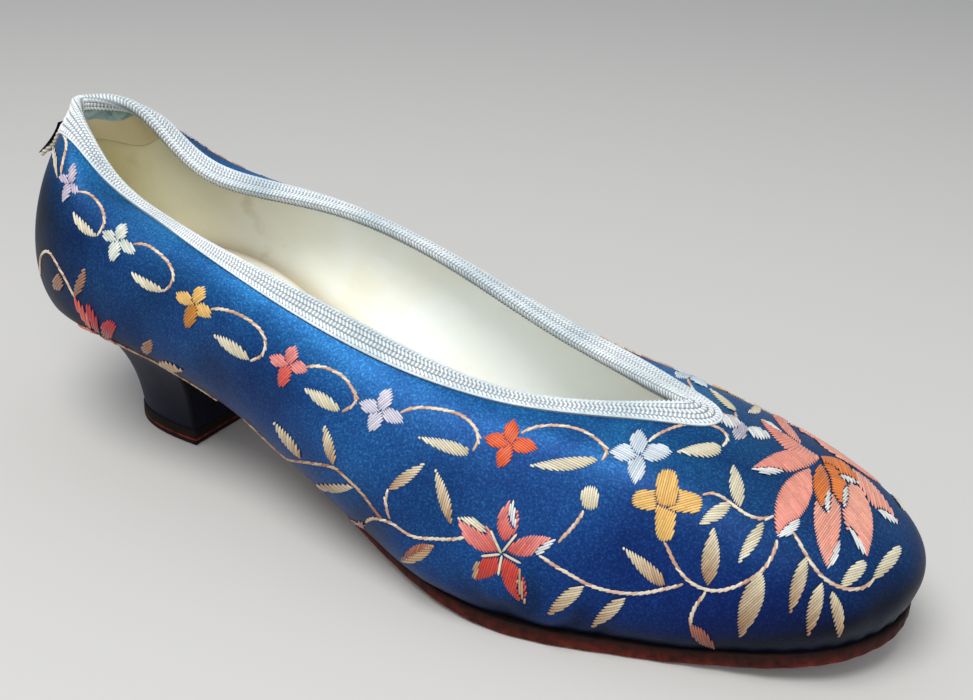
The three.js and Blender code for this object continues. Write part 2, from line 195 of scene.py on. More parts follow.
def upper_point(angle, row):
    """Outer face of the upper: row 0 is at the sole and row 1 at the top edge."""
    angle, row = np.broadcast_arrays(np.asarray(angle, float), np.asarray(row, float))
    turn = np.abs(angle) / np.pi % 2
    turn = np.where(turn > 1, 2 - turn, turn)
    foot = feather_point(angle)
    foot[..., 2] += GAP
    top = collar_point(angle)
    flare, rise, spread, drop = (
        section_curves[name](turn)[..., None] for name in ("flare", "rise", "spread", "drop")
    )
    up = np.array([0.0, 0.0, 1.0])
    foot_out = outward_from(BALL_WIDTH / 2, FEATHER_LENGTH / 2, angle)
    top_out = outward_from(BALL_WIDTH / 4, (THROAT_ALONG - COLLAR_BACK) / 2, angle)
    lower = foot + foot_out * flare + up * rise
    upper = top + top_out * spread - up * drop
    row = row[..., None]
    rest = 1 - row
    return (
        rest ** 3 * foot + 3 * rest ** 2 * row * lower
        + 3 * rest * row ** 2 * upper + row ** 3 * top
    )


def unit(vectors):
    return vectors / np.maximum(np.linalg.norm(vectors, axis=-1, keepdims=True), 1e-12)


# Steps for slopes along the upper: an angle, and a share of the way up
NEAR_ANGLE = 0.02
NEAR_ROW = 0.01


def upper_normal(angle, row):
    angle, row = np.broadcast_arrays(np.asarray(angle, float), np.asarray(row, float))
    around = upper_point(angle + NEAR_ANGLE, row) - upper_point(angle - NEAR_ANGLE, row)
    above = np.minimum(1, row + NEAR_ROW)
    below = np.maximum(0, row - NEAR_ROW)
    return unit(np.cross(around, upper_point(angle, above) - upper_point(angle, below)))


def off_upper(angle, row, lift):
    """A place off the upper's outer face, outwards where the lift is above 0."""
    return upper_point(angle, row) + upper_normal(angle, row) * np.asarray(lift)[..., None]


def row_at_depth(angle, depth):
    """The row that lies this many millimetres down the wall from the top edge."""
    step = upper_point(angle, 1.0) - upper_point(angle, 1.0 - NEAR_ROW)
    return 1 - depth * NEAR_ROW / np.linalg.norm(step, axis=-1)


def bell(value, middle, reach):
    """A soft bump: 1 at its middle, and nearly 0 two reaches away."""
    return np.exp(-((value - middle) / reach) ** 2)


def braid_width(angle):
    near_throat = ((1 + np.cos(angle)) / 2) ** BRAID_POINT_SHARPNESS
    return BRAID_WIDTH + BRAID_POINT * near_throat


# Soft troughs and ridges of the satin. Turn is a share of the half turn from the toe to the back,
# above 0 on the left side, and row is a share of the way up the wall. Both reaches are in the same
# shares, and height is in millimetres.
# Columns: turn, row, reach round the shoe, reach up the wall, lean, height
CREASES = (
    (-0.352, 0.17, 0.009, 0.12, 0.1, -0.8),
    (-0.338, 0.14, 0.007, 0.1, 0.12, 0.5),
    (-0.326, 0.12, 0.007, 0.09, 0.12, -0.7),
    (-0.312, 0.08, 0.006, 0.06, 0.1, -0.5),
    (-0.372, 0.1, 0.008, 0.07, 0.08, -0.6),
    (-0.4, 0.4, 0.03, 0.2, 0.2, -0.4),
    (-0.52, 0.45, 0.03, 0.22, 0.15, -0.45),
    (-0.64, 0.45, 0.025, 0.25, 0.15, -0.5),
    (0.345, 0.15, 0.009, 0.11, -0.1, -0.7),
    (-0.47, 0.16, 0.018, 0.16, 0.1, -0.72),
    (-0.43, 0.12, 0.016, 0.12, 0.05, 0.45),
    (-0.385, 0.1, 0.014, 0.11, -0.08, -0.59),
    (-0.55, 0.2, 0.022, 0.2, 0.12, 0.52),
    (-0.6, 0.28, 0.02, 0.18, 0.1, -0.45),
    (-0.72, 0.86, 0.03, 0.05, 0.2, -0.45),
    (-0.79, 0.8, 0.02, 0.1, 0.15, 0.39),
    (-0.25, 0.1, 0.02, 0.1, 0.1, 0.39),
    (-0.12, 0.14, 0.03, 0.08, 0.1, 0.45),
    (-0.06, 0.22, 0.02, 0.1, 0.2, -0.39),
    (0.45, 0.14, 0.018, 0.15, -0.1, -0.65),
    (0.4, 0.11, 0.016, 0.12, -0.05, 0.45),
    (0.52, 0.22, 0.02, 0.2, -0.12, 0.45),
    (0.75, 0.82, 0.03, 0.06, -0.2, -0.39),
    (0.15, 0.12, 0.03, 0.09, 0.1, 0.39),
)


def satin_relief(angle, row):
    """How far the satin stands off its smooth form, in millimetres."""
    turn = (np.asarray(angle) / np.pi + 1) % 2 - 1
    height = 0.10 * np.sin(9 * angle + 4 * row) * np.sin(np.pi * row) ** 2
    height = height + 0.07 * np.sin(17 * angle - 9 * row + 1) * np.sin(np.pi * row) ** 2
    for at_turn, at_row, reach_round, reach_up, lean, stand in CREASES:
        rise = row - at_row
        along = (turn - at_turn - lean * rise) / reach_round
        height = height + stand * np.exp(-along ** 2 - (rise / reach_up) ** 2)
    near_toe = bell(turn, 0, 0.22) * bell(row, 0, 0.07)
    return height + 0.16 * near_toe * np.sin(75 * angle)


def satin_point(angle, row, lift=0.0):
    fade = np.clip((1 - row) * 8, 0, 1)
    return off_upper(angle, row, satin_relief(angle, row) * fade + lift)


# Placing and making pieces

top_piece_low, top_piece_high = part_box("heel_top_piece")
SHIFT = np.array([
    HEEL_FOOT_BACK / 1000 - top_piece_low.x,
    -(top_piece_low.y + top_piece_high.y) / 2,
    -top_piece_low.z,
])


def to_row(points):
    return points / 1000 - SHIFT


def make_piece(name, points, faces, material, replaces, tint, uv=None):
    mesh = bpy.data.meshes.new(name)
    mesh.from_pydata(to_row(points.reshape(-1, 3)).tolist(), [], faces.tolist())
    mesh.polygons.foreach_set("use_smooth", [True] * len(mesh.polygons))
    layer = mesh.color_attributes.new("tint", "FLOAT_COLOR", "POINT")
    colours = np.concatenate([tint.reshape(-1, 3), np.ones((tint.size // 3, 1))], 1)
    layer.data.foreach_set("color", colours.ravel())
    if uv is not None:
        layer = mesh.uv_layers.new(name="sewn")
        corner = np.empty(len(mesh.loops), np.int32)
        mesh.loops.foreach_get("vertex_index", corner)
        layer.data.foreach_set("uv", uv.reshape(-1, 2)[corner].ravel())
    mesh.materials.append(material)
    piece = bpy.data.objects.new(name, mesh)
    bpy.context.scene.collection.objects.link(piece)
    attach(piece, "root")
    if replaces:
        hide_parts(*replaces)


def grid_faces(rows, columns, goes_round=False, flip=False):
    """Faces of a grid of points, row after row."""
    column = np.arange(columns if goes_round else columns - 1)
    following = (column + 1) % columns
    row = np.arange(rows - 1)[:, None] * columns
    quads = np.stack([row + column, row + following, row + columns + following,
                      row + columns + column], -1).reshape(-1, 4)
    return quads[:, ::-1] if flip else quads


def make_sheet(name, rows, material, replaces, tint, goes_round=False, flip=False, uv=None):
    """A piece from rows of points, with as many points in each row."""
    rows = np.array(rows)
    faces = grid_faces(*rows.shape[:2], goes_round, flip)
    make_piece(name, rows, faces, material, replaces, np.array(tint), uv)


# Materials


def rgb(red, green, blue):
    """Blender's linear colour from a photo's one, which runs to 255."""
    share = np.array([red, green, blue]) / 255
    return np.where(share <= 0.04045, share / 12.92, ((share + 0.055) / 1.055) ** 2.4)


def opaque(colour):
    """A colour as a shader's input takes it. A socket stays as it is."""
    return colour if isinstance(colour, bpy.types.NodeSocket) else (*colour, 1)


class Material:
    """A procedural material: one Principled shader and the nodes that feed it."""

    def __init__(self, name, colour, roughness, **settings):
        self.made = bpy.data.materials.new(name)
        self.made.use_nodes = True
        self.nodes = self.made.node_tree.nodes
        self.links = self.made.node_tree.links
        self.shader = self.nodes["Principled BSDF"]
        self.shader.inputs["Base Color"].default_value = opaque(colour)
        self.shader.inputs["Roughness"].default_value = roughness
        for socket, value in settings.items():
            self.shader.inputs[socket.replace("_", " ")].default_value = value
        self.place = self.nodes.new("ShaderNodeTexCoord").outputs["Object"]

    def node(self, kind, inputs=None, **settings):
        made = self.nodes.new("ShaderNode" + kind)
        for name, value in settings.items():
            setattr(made, name, value)
        for name, value in (inputs or {}).items():
            if isinstance(value, bpy.types.NodeSocket):
                self.links.new(value, made.inputs[name])
            else:
                made.inputs[name].default_value = value
        return made

    def noise(self, scale, detail, distortion=0.0, stretch=None):
        place = self.place
        if stretch:
            place = self.node("Mapping", {"Vector": place, "Scale": stretch}).outputs[0]
        inputs = {"Vector": place, "Scale": scale, "Detail": detail, "Distortion": distortion}
        return self.node("TexNoise", inputs).outputs["Fac"]

    def ramp(self, factor, *stops):
        made = self.node("ValToRGB", {"Fac": factor})
        elements = made.color_ramp.elements
        while len(elements) < len(stops):
            elements.new(0.5)
        for element, (at, colour) in zip(elements, stops):
            element.position = at
            element.color = opaque(colour)
        return made.outputs["Color"]

    def mix(self, factor, first, second, blend="MIX"):
        inputs = {0: factor, 6: opaque(first), 7: opaque(second)}
        return self.node("Mix", inputs, data_type="RGBA", blend_type=blend).outputs[2]

    def multiply(self, factor, first, second):
        return self.mix(factor, first, second, "MULTIPLY")

    def tint(self):
        return self.node("Attribute", attribute_name="tint").outputs["Color"]

    def colour(self, socket):
        self.links.new(socket, self.shader.inputs["Base Color"])

    def roughness(self, factor, low, high):
        inputs = {"Value": factor, "To Min": low, "To Max": high}
        made = self.node("MapRange", inputs)
        self.links.new(made.outputs["Result"], self.shader.inputs["Roughness"])

    def bump(self, height, distance, strength=1.0):
        made = self.node("Bump", {"Height": height, "Distance": distance, "Strength": strength})
        before = self.shader.inputs["Normal"]
        if before.is_linked:
            self.links.new(before.links[0].from_socket, made.inputs["Normal"])
        self.links.new(made.outputs["Normal"], before)


def make_satin():
    satin = Material("blue_satin", rgb(40, 100, 165), 0.45, Metallic=0.35, Sheen_Weight=0.02,
                     Sheen_Roughness=0.5, Sheen_Tint=(0.1, 0.4, 1, 1), Anisotropic=0.4,
                     Specular_IOR_Level=0.12)
    patches = satin.noise(30, 4, distortion=0.8)
    mottle = satin.ramp(patches, (0.28, (0.42, 0.44, 0.6)), (0.5, (0.9, 0.9, 0.92)),
                        (0.7, (1.25, 1.28, 1.15)))
    blue = satin.multiply(1.0, satin.tint(), mottle)
    speckle = satin.ramp(satin.noise(2100, 2), (0.34, (0.5, 0.52, 0.62)), (0.56, (1, 1, 1)),
                         (0.68, (2.3, 2.0, 1.6)))
    satin.colour(satin.multiply(0.75, blue, speckle))
    tangent = satin.node("Tangent", direction_type="UV_MAP", uv_map="sewn").outputs[0]
    satin.links.new(tangent, satin.shader.inputs["Tangent"])
    satin.roughness(satin.noise(60, 3), 0.38, 0.55)
    satin.bump(satin.noise(1500, 2), 0.00006, 0.6)
    satin.bump(satin.noise(110, 3), 0.0006, 0.45)
    return satin.made


def make_dark_satin():
    satin = Material("dark_satin", rgb(14, 14, 26), 0.45, Sheen_Weight=0.06,
                     Sheen_Tint=(0.3, 0.4, 1, 1), Specular_IOR_Level=0.1)
    wear = satin.noise(70, 4, distortion=0.5)
    tone = satin.ramp(wear, (0.35, rgb(4, 3, 6)), (0.7, rgb(9, 10, 20)))
    satin.colour(satin.multiply(1.0, tone, satin.tint()))
    satin.bump(satin.noise(1500, 2), 0.00006, 0.5)
    satin.bump(satin.noise(120, 3), 0.0005, 0.3)
    satin.roughness(wear, 0.4, 0.6)
    return satin.made


def make_silk():
    silk = Material("silk_floss", rgb(220, 210, 190), 0.42, Sheen_Weight=0.4, Sheen_Roughness=0.3)
    fibre = silk.noise(2600, 2)
    grain = silk.ramp(fibre, (0.3, rgb(222, 219, 215)), (0.7, rgb(255, 255, 255)))
    silk.colour(silk.multiply(0.7, silk.tint(), grain))
    silk.bump(fibre, 0.00005, 0.4)
    return silk.made


def make_braid():
    braid = Material("pale_braid", rgb(200, 215, 226), 0.55, Sheen_Weight=0.3)
    soil = braid.noise(45, 4, distortion=0.4)
    clean = braid.ramp(soil, (0.3, rgb(212, 222, 226)), (0.62, rgb(255, 255, 255)))
    braid.colour(braid.multiply(1.0, braid.tint(), clean))
    braid.bump(braid.noise(3000, 2), 0.00006, 0.6)
    return braid.made


def make_cotton(name, clean, worn, stain):
    cotton = Material(name, clean, 0.85, Sheen_Weight=0.3)
    soft = cotton.noise(22, 4, distortion=0.8)
    tone = cotton.ramp(soft, (0.3, worn), (0.6, clean))
    marks = cotton.ramp(cotton.noise(75, 4, distortion=0.3), (0.62, (0, 0, 0)), (0.78, (1, 1, 1)))
    faint = cotton.node("Math", {0: marks, 1: 0.35}, operation="MULTIPLY").outputs[0]
    tone = cotton.mix(faint, tone, stain)
    cotton.colour(cotton.multiply(1.0, tone, cotton.tint()))
    cotton.bump(cotton.noise(2200, 1), 0.00008, 0.5)
    cotton.bump(cotton.noise(90, 4, distortion=0.6), 0.0007, 0.35)
    return cotton.made


def make_ribbon():
    ribbon = Material("stained_ribbon", rgb(150, 172, 172), 0.7, Sheen_Weight=0.2)
    soil = ribbon.noise(160, 4, distortion=1.0)
    teal = ribbon.ramp(soil, (0.36, rgb(70, 98, 102)), (0.5, rgb(132, 160, 160)),
                       (0.7, rgb(178, 200, 198)))
    ribbon.colour(ribbon.mix(ribbon.tint(), teal, rgb(206, 192, 150)))
    ribbon.bump(ribbon.noise(900, 2, stretch=(1, 1, 6)), 0.0001, 0.6)
    return ribbon.made


def make_sole_leather():
    leather = Material("sole_leather", rgb(100, 48, 34), 0.75, Specular_IOR_Level=0.2)
    fibre = leather.noise(420, 5, distortion=0.5)
    blotch = leather.noise(40, 4, distortion=0.8)
    dark = leather.ramp(fibre, (0.3, rgb(50, 11, 8)), (0.7, rgb(110, 40, 26)))
    worn = leather.ramp(blotch, (0.35, rgb(120, 100, 95)), (0.7, rgb(255, 235, 215)))
    tone = leather.multiply(0.7, dark, worn)
    leather.colour(leather.multiply(1.0, tone, leather.tint()))
    leather.bump(fibre, 0.0003, 0.6)
    leather.roughness(blotch, 0.6, 0.9)
    return leather.made


def make_floor_material():
    paper = Material("pale_floor", rgb(200, 199, 196), 0.9)
    paper.bump(paper.noise(60, 3), 0.0002, 0.1)
    return paper.made


satin_material = make_satin()
dark_satin_material = make_dark_satin()
silk_material = make_silk()
braid_material = make_braid()
lining_material = make_cotton("cream_lining", rgb(250, 255, 252), rgb(244, 244, 230),
                              rgb(180, 150, 104))
sock_material = make_cotton("cream_sock", rgb(255, 255, 252), rgb(250, 248, 236),
                            rgb(190, 168, 128))
ribbon_material = make_ribbon()
leather_material = make_sole_leather()


# The upper: satin outside, cotton lining inside

SATIN_COLUMNS = 720
SATIN_ROWS = 84
LINING_COLUMNS = 420
LINING_ROWS = 56
# Millimetres of satin to a radian round the shoe and to the whole way up, for the run of its weave
SATIN_ROUND = 38
SATIN_UP = 60


def satin_colour_with_painted_light(angle, row):
    """The satin's blue with painted light and shade: lighter azure by the collar where the light
    falls, ultramarine by the toe, and painted shade low down, at the toe, at the back and in the
    creases' troughs.
    """
    turn = np.abs((angle / np.pi + 1) % 2 - 1)[..., None]
    row = row[..., None]
    azure, blue, low_blue = rgb(40, 128, 192), rgb(30, 82, 144), rgb(18, 52, 110)
    ultramarine, navy = rgb(5, 22, 104), rgb(3, 6, 20)
    # Painted light and shade: lighter azure up by the collar, darker blue low down
    high = np.clip((row - 0.55) / 0.4, 0, 1)
    low = np.clip((0.45 - row) / 0.45, 0, 1)
    shade = blue + (azure - blue) * high ** 1.5 + (low_blue - blue) * low
    by_toe = bell(turn, 0.2, 0.16) * bell(row, 0.25, 0.35)
    shade = shade + (ultramarine - shade) * 0.75 * by_toe
    # Painted shade, towards navy, at the toe, at the back and along the wall's foot
    toe_low = bell(turn, 0, 0.3) * bell(row, 0, 0.2)
    toe_top = 0.45 * bell(turn, 0, 0.2)
    back = bell(turn, 1, 0.26) * (1 - 0.9 * np.clip((row - 0.5) / 0.4, 0, 1))
    foot = 0.5 * bell(row, 0, 0.09)
    dark = np.clip(1.3 * toe_low + toe_top + 1.6 * back + foot, 0, 0.95)
    # Painted shade in the troughs of the creases
    painted_crease_shade = np.clip(-satin_relief(angle, row[..., 0]), 0, 0.6)[..., None]
    return (shade + (navy - shade) * dark) * (1 - 0.8 * painted_crease_shade)


def make_satin_skin():
    angle = np.linspace(0, 2 * np.pi, SATIN_COLUMNS, endpoint=False)
    rim = row_at_depth(angle, 1.0)
    tuck = [feather_point(angle, -inset) + [0, 0, 0.5 * GAP] for inset in (4.0, 1.2)]
    shares = np.linspace(0, 1, SATIN_ROWS)
    rows = tuck + [satin_point(angle, share * rim) for share in shares]
    heights = np.concatenate([[0, 0], shares])
    tint = [satin_colour_with_painted_light(angle, height * rim) for height in heights]
    around = np.broadcast_to(angle * SATIN_ROUND, (len(rows), SATIN_COLUMNS))
    uv = np.stack([around, np.broadcast_to(heights[:, None] * SATIN_UP, around.shape)], -1)
    make_sheet("upper_satin", rows, satin_material, ["upper"], tint,
               goes_round=True, uv=uv)


def from_back(angle):
    """How far round an angle is from the middle of the back."""
    return np.abs(angle) - np.pi


def lining_relief(angle, row):
    """Slack folds of the lining, mostly at the heel and along the far side."""
    height = 0.35 * bell(from_back(angle), 0, 0.9) * np.sin(6 * angle + 7 * row)
    height = height + 0.25 * np.sin(5 * angle + 12 * row) * np.sin(np.pi * row)
    return height + 0.12 * np.sin(19 * angle - 15 * row)


def make_lining():
    angle = np.linspace(-np.pi, np.pi, LINING_COLUMNS, endpoint=False)
    top = row_at_depth(angle, BRAID_INSIDE - 0.6)
    facing_foot = row_at_depth(angle, FACING_BOTTOM + 2)
    # Tan at the heel: a stain, with painted shade deep in the heel
    heel_stain_and_shade = 1 - np.array([0.34, 0.44, 0.74]) * bell(from_back(angle), 0, 0.7)[:, None]
    rows = []
    tints = []
    for share in np.linspace(0, 1, LINING_ROWS):
        row = share * top
        still = np.clip((facing_foot - row) * 9, 0, 1) * np.clip(share * 6, 0, 1)
        inside = -WALL - 0.02 + np.minimum(0, (lining_relief(angle, row) - 0.3) * still)
        point = off_upper(angle, row, inside)
        point[:, 2] = np.maximum(point[:, 2], upper_point(angle, 0.0)[:, 2])
        rows.append(point)
        # Painted shade in the corner where the lining's foot meets the sock
        foot_shade = bell(share, 0, 0.1) * np.array([0.3, 0.38, 0.5])
        tints.append(heel_stain_and_shade * (1 - foot_shade))
    make_sheet("upper_lining", rows, lining_material, ["upper"], tints,
               goes_round=True, flip=True)


# Pieces that lie across the shoe between the two sides of its outline


def across_levels(angle, margin, height, levels):
    """Rows of points from the middle line out to the outline. Height is a rule of x and level."""
    edge = feather_point(angle, margin)
    middle = centre_line(edge[:, 0])
    rows = []
    for level in levels:
        point = edge.copy()
        point[:, 1] = middle + (edge[:, 1] - middle) * level
        point[:, 2] = height(edge[:, 0], level)
        rows.append(point)
    return rows


def make_insole():
    columns = 300
    angle = np.linspace(0, 2 * np.pi, columns, endpoint=False)
    inset = WALL + 0.45
    levels = np.linspace(0, 1, 40)

    def height(x, level):
        crease = 0.25 * np.sin(x / 9 + 6 * level) * np.sin(x / 23) + 0.2 * np.sin(x / 5 - 9 * level)
        edge_curl = 0.9 * level ** 8
        stand = INSOLE_THICKNESS + 0.25 + 0.4 * crease + edge_curl
        return sole_top(along_feather(x)) + GAP + stand

    rows = across_levels(angle, np.full(columns, -inset), height, levels)
    skirt = feather_point(angle, -inset)
    skirt[:, 2] += GAP
    rows.append(skirt)
    # Darker at the sock's edge: soil, and painted shade where the sock meets the lining's wall
    edge_soil_and_shade = bell(np.append(levels, 1), 1, 0.045)[:, None, None]
    heel_soil = np.clip((62 - np.array(rows)[..., :1]) / 30, 0, 1)
    tint = 1 - edge_soil_and_shade * np.array([0.42, 0.52, 0.64])
    tint = tint * (1 - heel_soil * np.array([0.24, 0.3, 0.42]))
    make_sheet("insole_sock", rows, sock_material, ["insole"], tint, goes_round=True)


def make_outsole():
    rear_angle = math.acos(2 * BREAST_TOP_ALONG - 1) - GAP / BALL_WIDTH
    columns = 361
    angle = rear_angle * np.linspace(-1, 1, columns)
    share = (1 + np.cos(angle)) / 2
    margin = curve_of(SOLE_MARGINS)(share)
    top = sole_top(along_feather(feather_point(angle, margin)[:, 0]))
    thick = SOLE_THICKNESS * np.minimum(1, curve_of(SOLE_THICKNESSES)(share))
    ridge = 0.06 * np.sin(np.arange(columns) * 0.9) + 0.05 * np.sin(np.arange(columns) * 0.31)
    rows = []
    tints = []
    for level in np.linspace(0, 1, 14):
        rows += across_levels(angle, margin - 0.6, lambda x, _: top - thick, [level])
        scuff = 1.25 - 0.25 * level
        tints.append(np.broadcast_to(np.array([1.5, 1.45, 1.35]) * scuff, (columns, 3)))
    # From the floor up: how far in from the edge, the height, and the shade. The shade is painted
    # shadow that darkens the edge towards the top, under the upper, over a lighter worn line low
    # down
    edge_profile = (
        (0.35, 0.06, 1.2), (0.12, 0.2, 1.7), (0.0, 0.5, 1.3), (0.0, 1.2, 0.8), (0.02, 2.2, 0.5),
        (0.0, 3.0, 0.25), (0.25, 3.35, 0.12), (0.6, 3.48, 0.08), (2.5, 3.5, 0.05),
    )
    for inset, up, shade in edge_profile:
        point = feather_point(angle, margin - inset + ridge * (up < 3.2))
        point[:, 2] = top - thick + thick * up / SOLE_THICKNESS
        rows.append(point)
        tints.append(np.broadcast_to(shade * np.array([1.0, 0.95, 0.9]), (columns, 3)))
    make_sheet("outsole_leather", rows, leather_material, ["outsole"], tints,
               flip=True)


# Points round the heel's back and sides, and spaces across its straight breast
HEEL_COLUMNS = 121
BREAST_STEPS = 24


def heel_foot_point(share, taper):
    """The heel's outline at the floor, from one end of its breast round to the other."""
    across = np.cos(np.pi * share)
    backward = np.sin(np.pi * share)
    depth = BREAST_FOOT - HEEL_FOOT_BACK - 2 * taper
    x = BREAST_FOOT - taper - depth * np.maximum(backward, 0) ** 0.8
    y = (HEEL_FOOT_WIDTH / 2 - taper) * np.sign(across) * np.abs(across) ** 0.75
    return np.stack([x, y, 0 * x], -1)


def with_breast(ring):
    """Closes a ring of the heel with a straight front."""
    shares = np.linspace(0, 1, BREAST_STEPS + 1)[1:-1, None]
    return np.concatenate([ring, ring[-1] + (ring[0] - ring[-1]) * shares])


def make_heel():
    share = np.linspace(0, 1, HEEL_COLUMNS)
    start = math.acos(2 * BREAST_TOP_ALONG - 1)
    angle = start + (2 * np.pi - 2 * start) * share
    top = feather_point(angle, -0.2)
    top[:, 2] = sole_top(along_feather(top[:, 0])) + 0.2 * GAP
    foot = heel_foot_point(share, 0.45)
    foot[:, 2] = TOP_PIECE_THICKNESS + 0.1
    spread_at = curve_of(HEEL_SIDE_SPREAD)
    rows = []
    for up in np.linspace(0, 1, 40):
        ring = foot + (top - foot) * spread_at(up)[..., None]
        ring[:, 2] = foot[:, 2] + (top[:, 2] - foot[:, 2]) * up
        rows.append(with_breast(ring))
    middle = rows[0].mean(0)
    rows.insert(0, middle + (rows[0] - middle) * 0.02)
    tint = np.ones_like(rows)
    tint[-1] = 5.0
    make_sheet("heel_cover", rows, dark_satin_material, ["heel"], tint,
               goes_round=True)


def make_top_piece():
    share = np.linspace(0, 1, HEEL_COLUMNS)
    # From the floor up: how far in from the outline, the height, and the shade
    profile = (
        (12.0, 0.0, 1.2), (4.0, 0.0, 1.2), (0.5, 0.0, 0.9), (0.12, 0.15, 0.3), (0.0, 0.6, 0.1),
        (0.0, 1.3, 0.12), (0.0, 1.5, 2.4), (0.0, 1.75, 2.0), (0.02, 1.95, 0.1), (0.05, 3.9, 0.05),
        (0.2, 4.3, 0.05), (1.5, 4.4, 0.05),
    )
    rows = []
    tints = []
    for inset, up, shade in profile:
        ring = with_breast(heel_foot_point(share, inset))
        ring[:, 2] = up
        rows.append(ring)
        tints.append(np.broadcast_to(shade * np.array([1.0, 0.9, 0.8]), ring.shape))
    make_sheet("heel_lift", rows, leather_material, ["heel_top_piece"], tints,
               goes_round=True)


# Stitches: each is a small arched strip, narrow at its ends

STITCH_ALONG = np.array([0, 0.12, 0.5, 0.88, 1])
STITCH_WIDTH = np.array([0.3, 0.95, 1, 0.95, 0.3])
STITCH_HEIGHT = np.array([0.0, 0.75, 1, 0.75, 0.0])


def stitch_faces(count, flip=False):
    """Faces of many stitches, each of rows of three points."""
    one = grid_faces(len(STITCH_ALONG), 3, flip=flip)
    starts = np.arange(count)[:, None, None] * len(STITCH_ALONG) * 3
    return (one[None] + starts).reshape(-1, 4)


def straight_stitches(start, end, side, normal, height, lift):
    """Stitches between points in space. Side is each one's half width as a vector."""
    along = STITCH_ALONG[None, :, None]
    middle = start[:, None] + (end - start)[:, None] * along
    wide = side[:, None] * STITCH_WIDTH[None, :, None]
    rise = (lift + height * STITCH_HEIGHT)[None, :, None] * normal[:, None]
    low = (lift * np.minimum(1, STITCH_HEIGHT + 0.4))[None, :, None] * normal[:, None]
    return np.stack([middle - wide + low, middle + rise, middle + wide + low], 2)


# Lines in space


def walked_along(line):
    """How far each point of a line is from its first one, along the line."""
    return np.concatenate([[0], np.cumsum(np.linalg.norm(np.diff(line, axis=0), axis=1))])


def on_line(values, walked, lengths):
    """What a line's points hold, read between them at some lengths along the line."""
    return np.stack([np.interp(lengths, walked, values[:, k]) for k in range(3)], -1)


# The braid, folded over the collar's edge: its beads' pitch and ribs, and where the fold starts

BRAID_PITCH = 0.947
BRAID_RIBS = 4
INNER_RIBS = 3
FOLD = 1.0
# A bead's height, its half width as a share of the pitch, its lean and how dark painted shade makes
# its sides
BEAD_HEIGHT = 0.42
BEAD_HALF = 0.4
BEAD_LEAN = 0.3
BEAD_SIDE_SHADE = 0.58
# Points of the fine line round the collar that distances are read from
COLLAR_STEPS = 6001


def arc_angles(depth, pitch):
    """Angles round the collar that lie one pitch apart at a depth below its edge."""
    fine = np.linspace(-np.pi, np.pi, COLLAR_STEPS)
    width = braid_width(fine) / BRAID_WIDTH
    line = upper_point(fine, row_at_depth(fine, depth * width))
    length = walked_along(line)
    count = round(length[-1] / pitch)
    return np.interp(np.arange(count + 1) * length[-1] / count, length, fine)


def braid_surface(angle, depth, lift):
    """A place on the braid, whose depths follow its width."""
    depth = depth * braid_width(angle) / BRAID_WIDTH
    return off_upper(angle, row_at_depth(angle, depth), lift)


def braid_profile():
    """The braid's section from its lower edge over the fold: depth, lift and painted shade, darkest
    in the valleys between the ribs, which shows as gaps between the beads.
    """
    face = GAP + 0.25
    inner = -(WALL + GAP + 0.55)
    profile = [(BRAID_WIDTH, 0.0, 0.35), (BRAID_WIDTH, face - 0.1, 0.6)]
    for step in range(4 * BRAID_RIBS + 1):
        share = step / (4 * BRAID_RIBS)
        depth = BRAID_WIDTH - 0.3 + (FOLD - BRAID_WIDTH + 0.3) * share
        ridge = abs(math.sin(math.pi * BRAID_RIBS * share))
        profile.append((depth, face - 0.1 + 0.22 * ridge, 0.3 + 0.35 * ridge))
    profile += [
        (0.6, face + 0.05, 0.5), (0.1, 0.1, 0.5), (-0.15, -0.45 * WALL, 0.5),
        (0.0, -WALL, 0.5), (0.4, inner + 0.1, 0.5), (1.2, inner, 0.48), (2.4, inner, 0.45),
        (BRAID_INSIDE, inner + 0.05, 0.4), (BRAID_INSIDE, -WALL, 0.4),
    ]
    return profile


def make_braid_band():
    columns = 960
    angle = np.linspace(-np.pi, np.pi, columns, endpoint=False)
    profile = braid_profile()
    rows = [braid_surface(angle, depth, lift) for depth, lift, _ in profile]
    # The band's colour is darkened by painted shade: in the valleys between its ribs and in the gaps
    # between the beads
    base = rgb(200, 216, 226)
    tints = [np.broadcast_to(base * shade, (columns, 3)) for _, _, shade in profile]
    make_sheet("collar_braid", rows, braid_material, ["collar_binding"], tints,
               goes_round=True)


def bead_tint(colour, count, rng, edge):
    """A bright middle and sides darkened by painted shade for each bead of the braid."""
    sides = np.array([edge, 1.0, edge])[None, None, :, None]
    bright = colour * rng.uniform(0.9, 1.08, (count, 1))
    tint = bright[:, None, None] * sides
    return np.broadcast_to(tint, (count, len(STITCH_ALONG), 3, 3)).reshape(-1, 3)


def braid_ribs():
    """The ribs from the braid's lower edge over the fold to its inner edge.

    Each has the depth and lift of its two sides, and how far it faces outwards and upwards.
    """
    face = GAP + 0.2
    inner = -(WALL + GAP + 0.5)
    width = (BRAID_WIDTH - FOLD - 0.3) / BRAID_RIBS
    ribs = []
    for rib in range(BRAID_RIBS):
        top = FOLD + rib * width
        ribs.append(((top + 0.12 * width, face), (top + 0.92 * width, face), (1, 0)))
    ribs.append(((0.0, 0.1), (0.95, face), (0.8, 0.6)))
    ribs.append(((0.1, -WALL - 0.2), (-0.1, 0.0), (0, 1)))
    inner_width = (BRAID_INSIDE - 0.2) / INNER_RIBS
    for rib in range(INNER_RIBS):
        top = 0.2 + rib * inner_width
        ribs.append(((top, inner), (top + 0.92 * inner_width, inner), (-1, 0)))
    return ribs


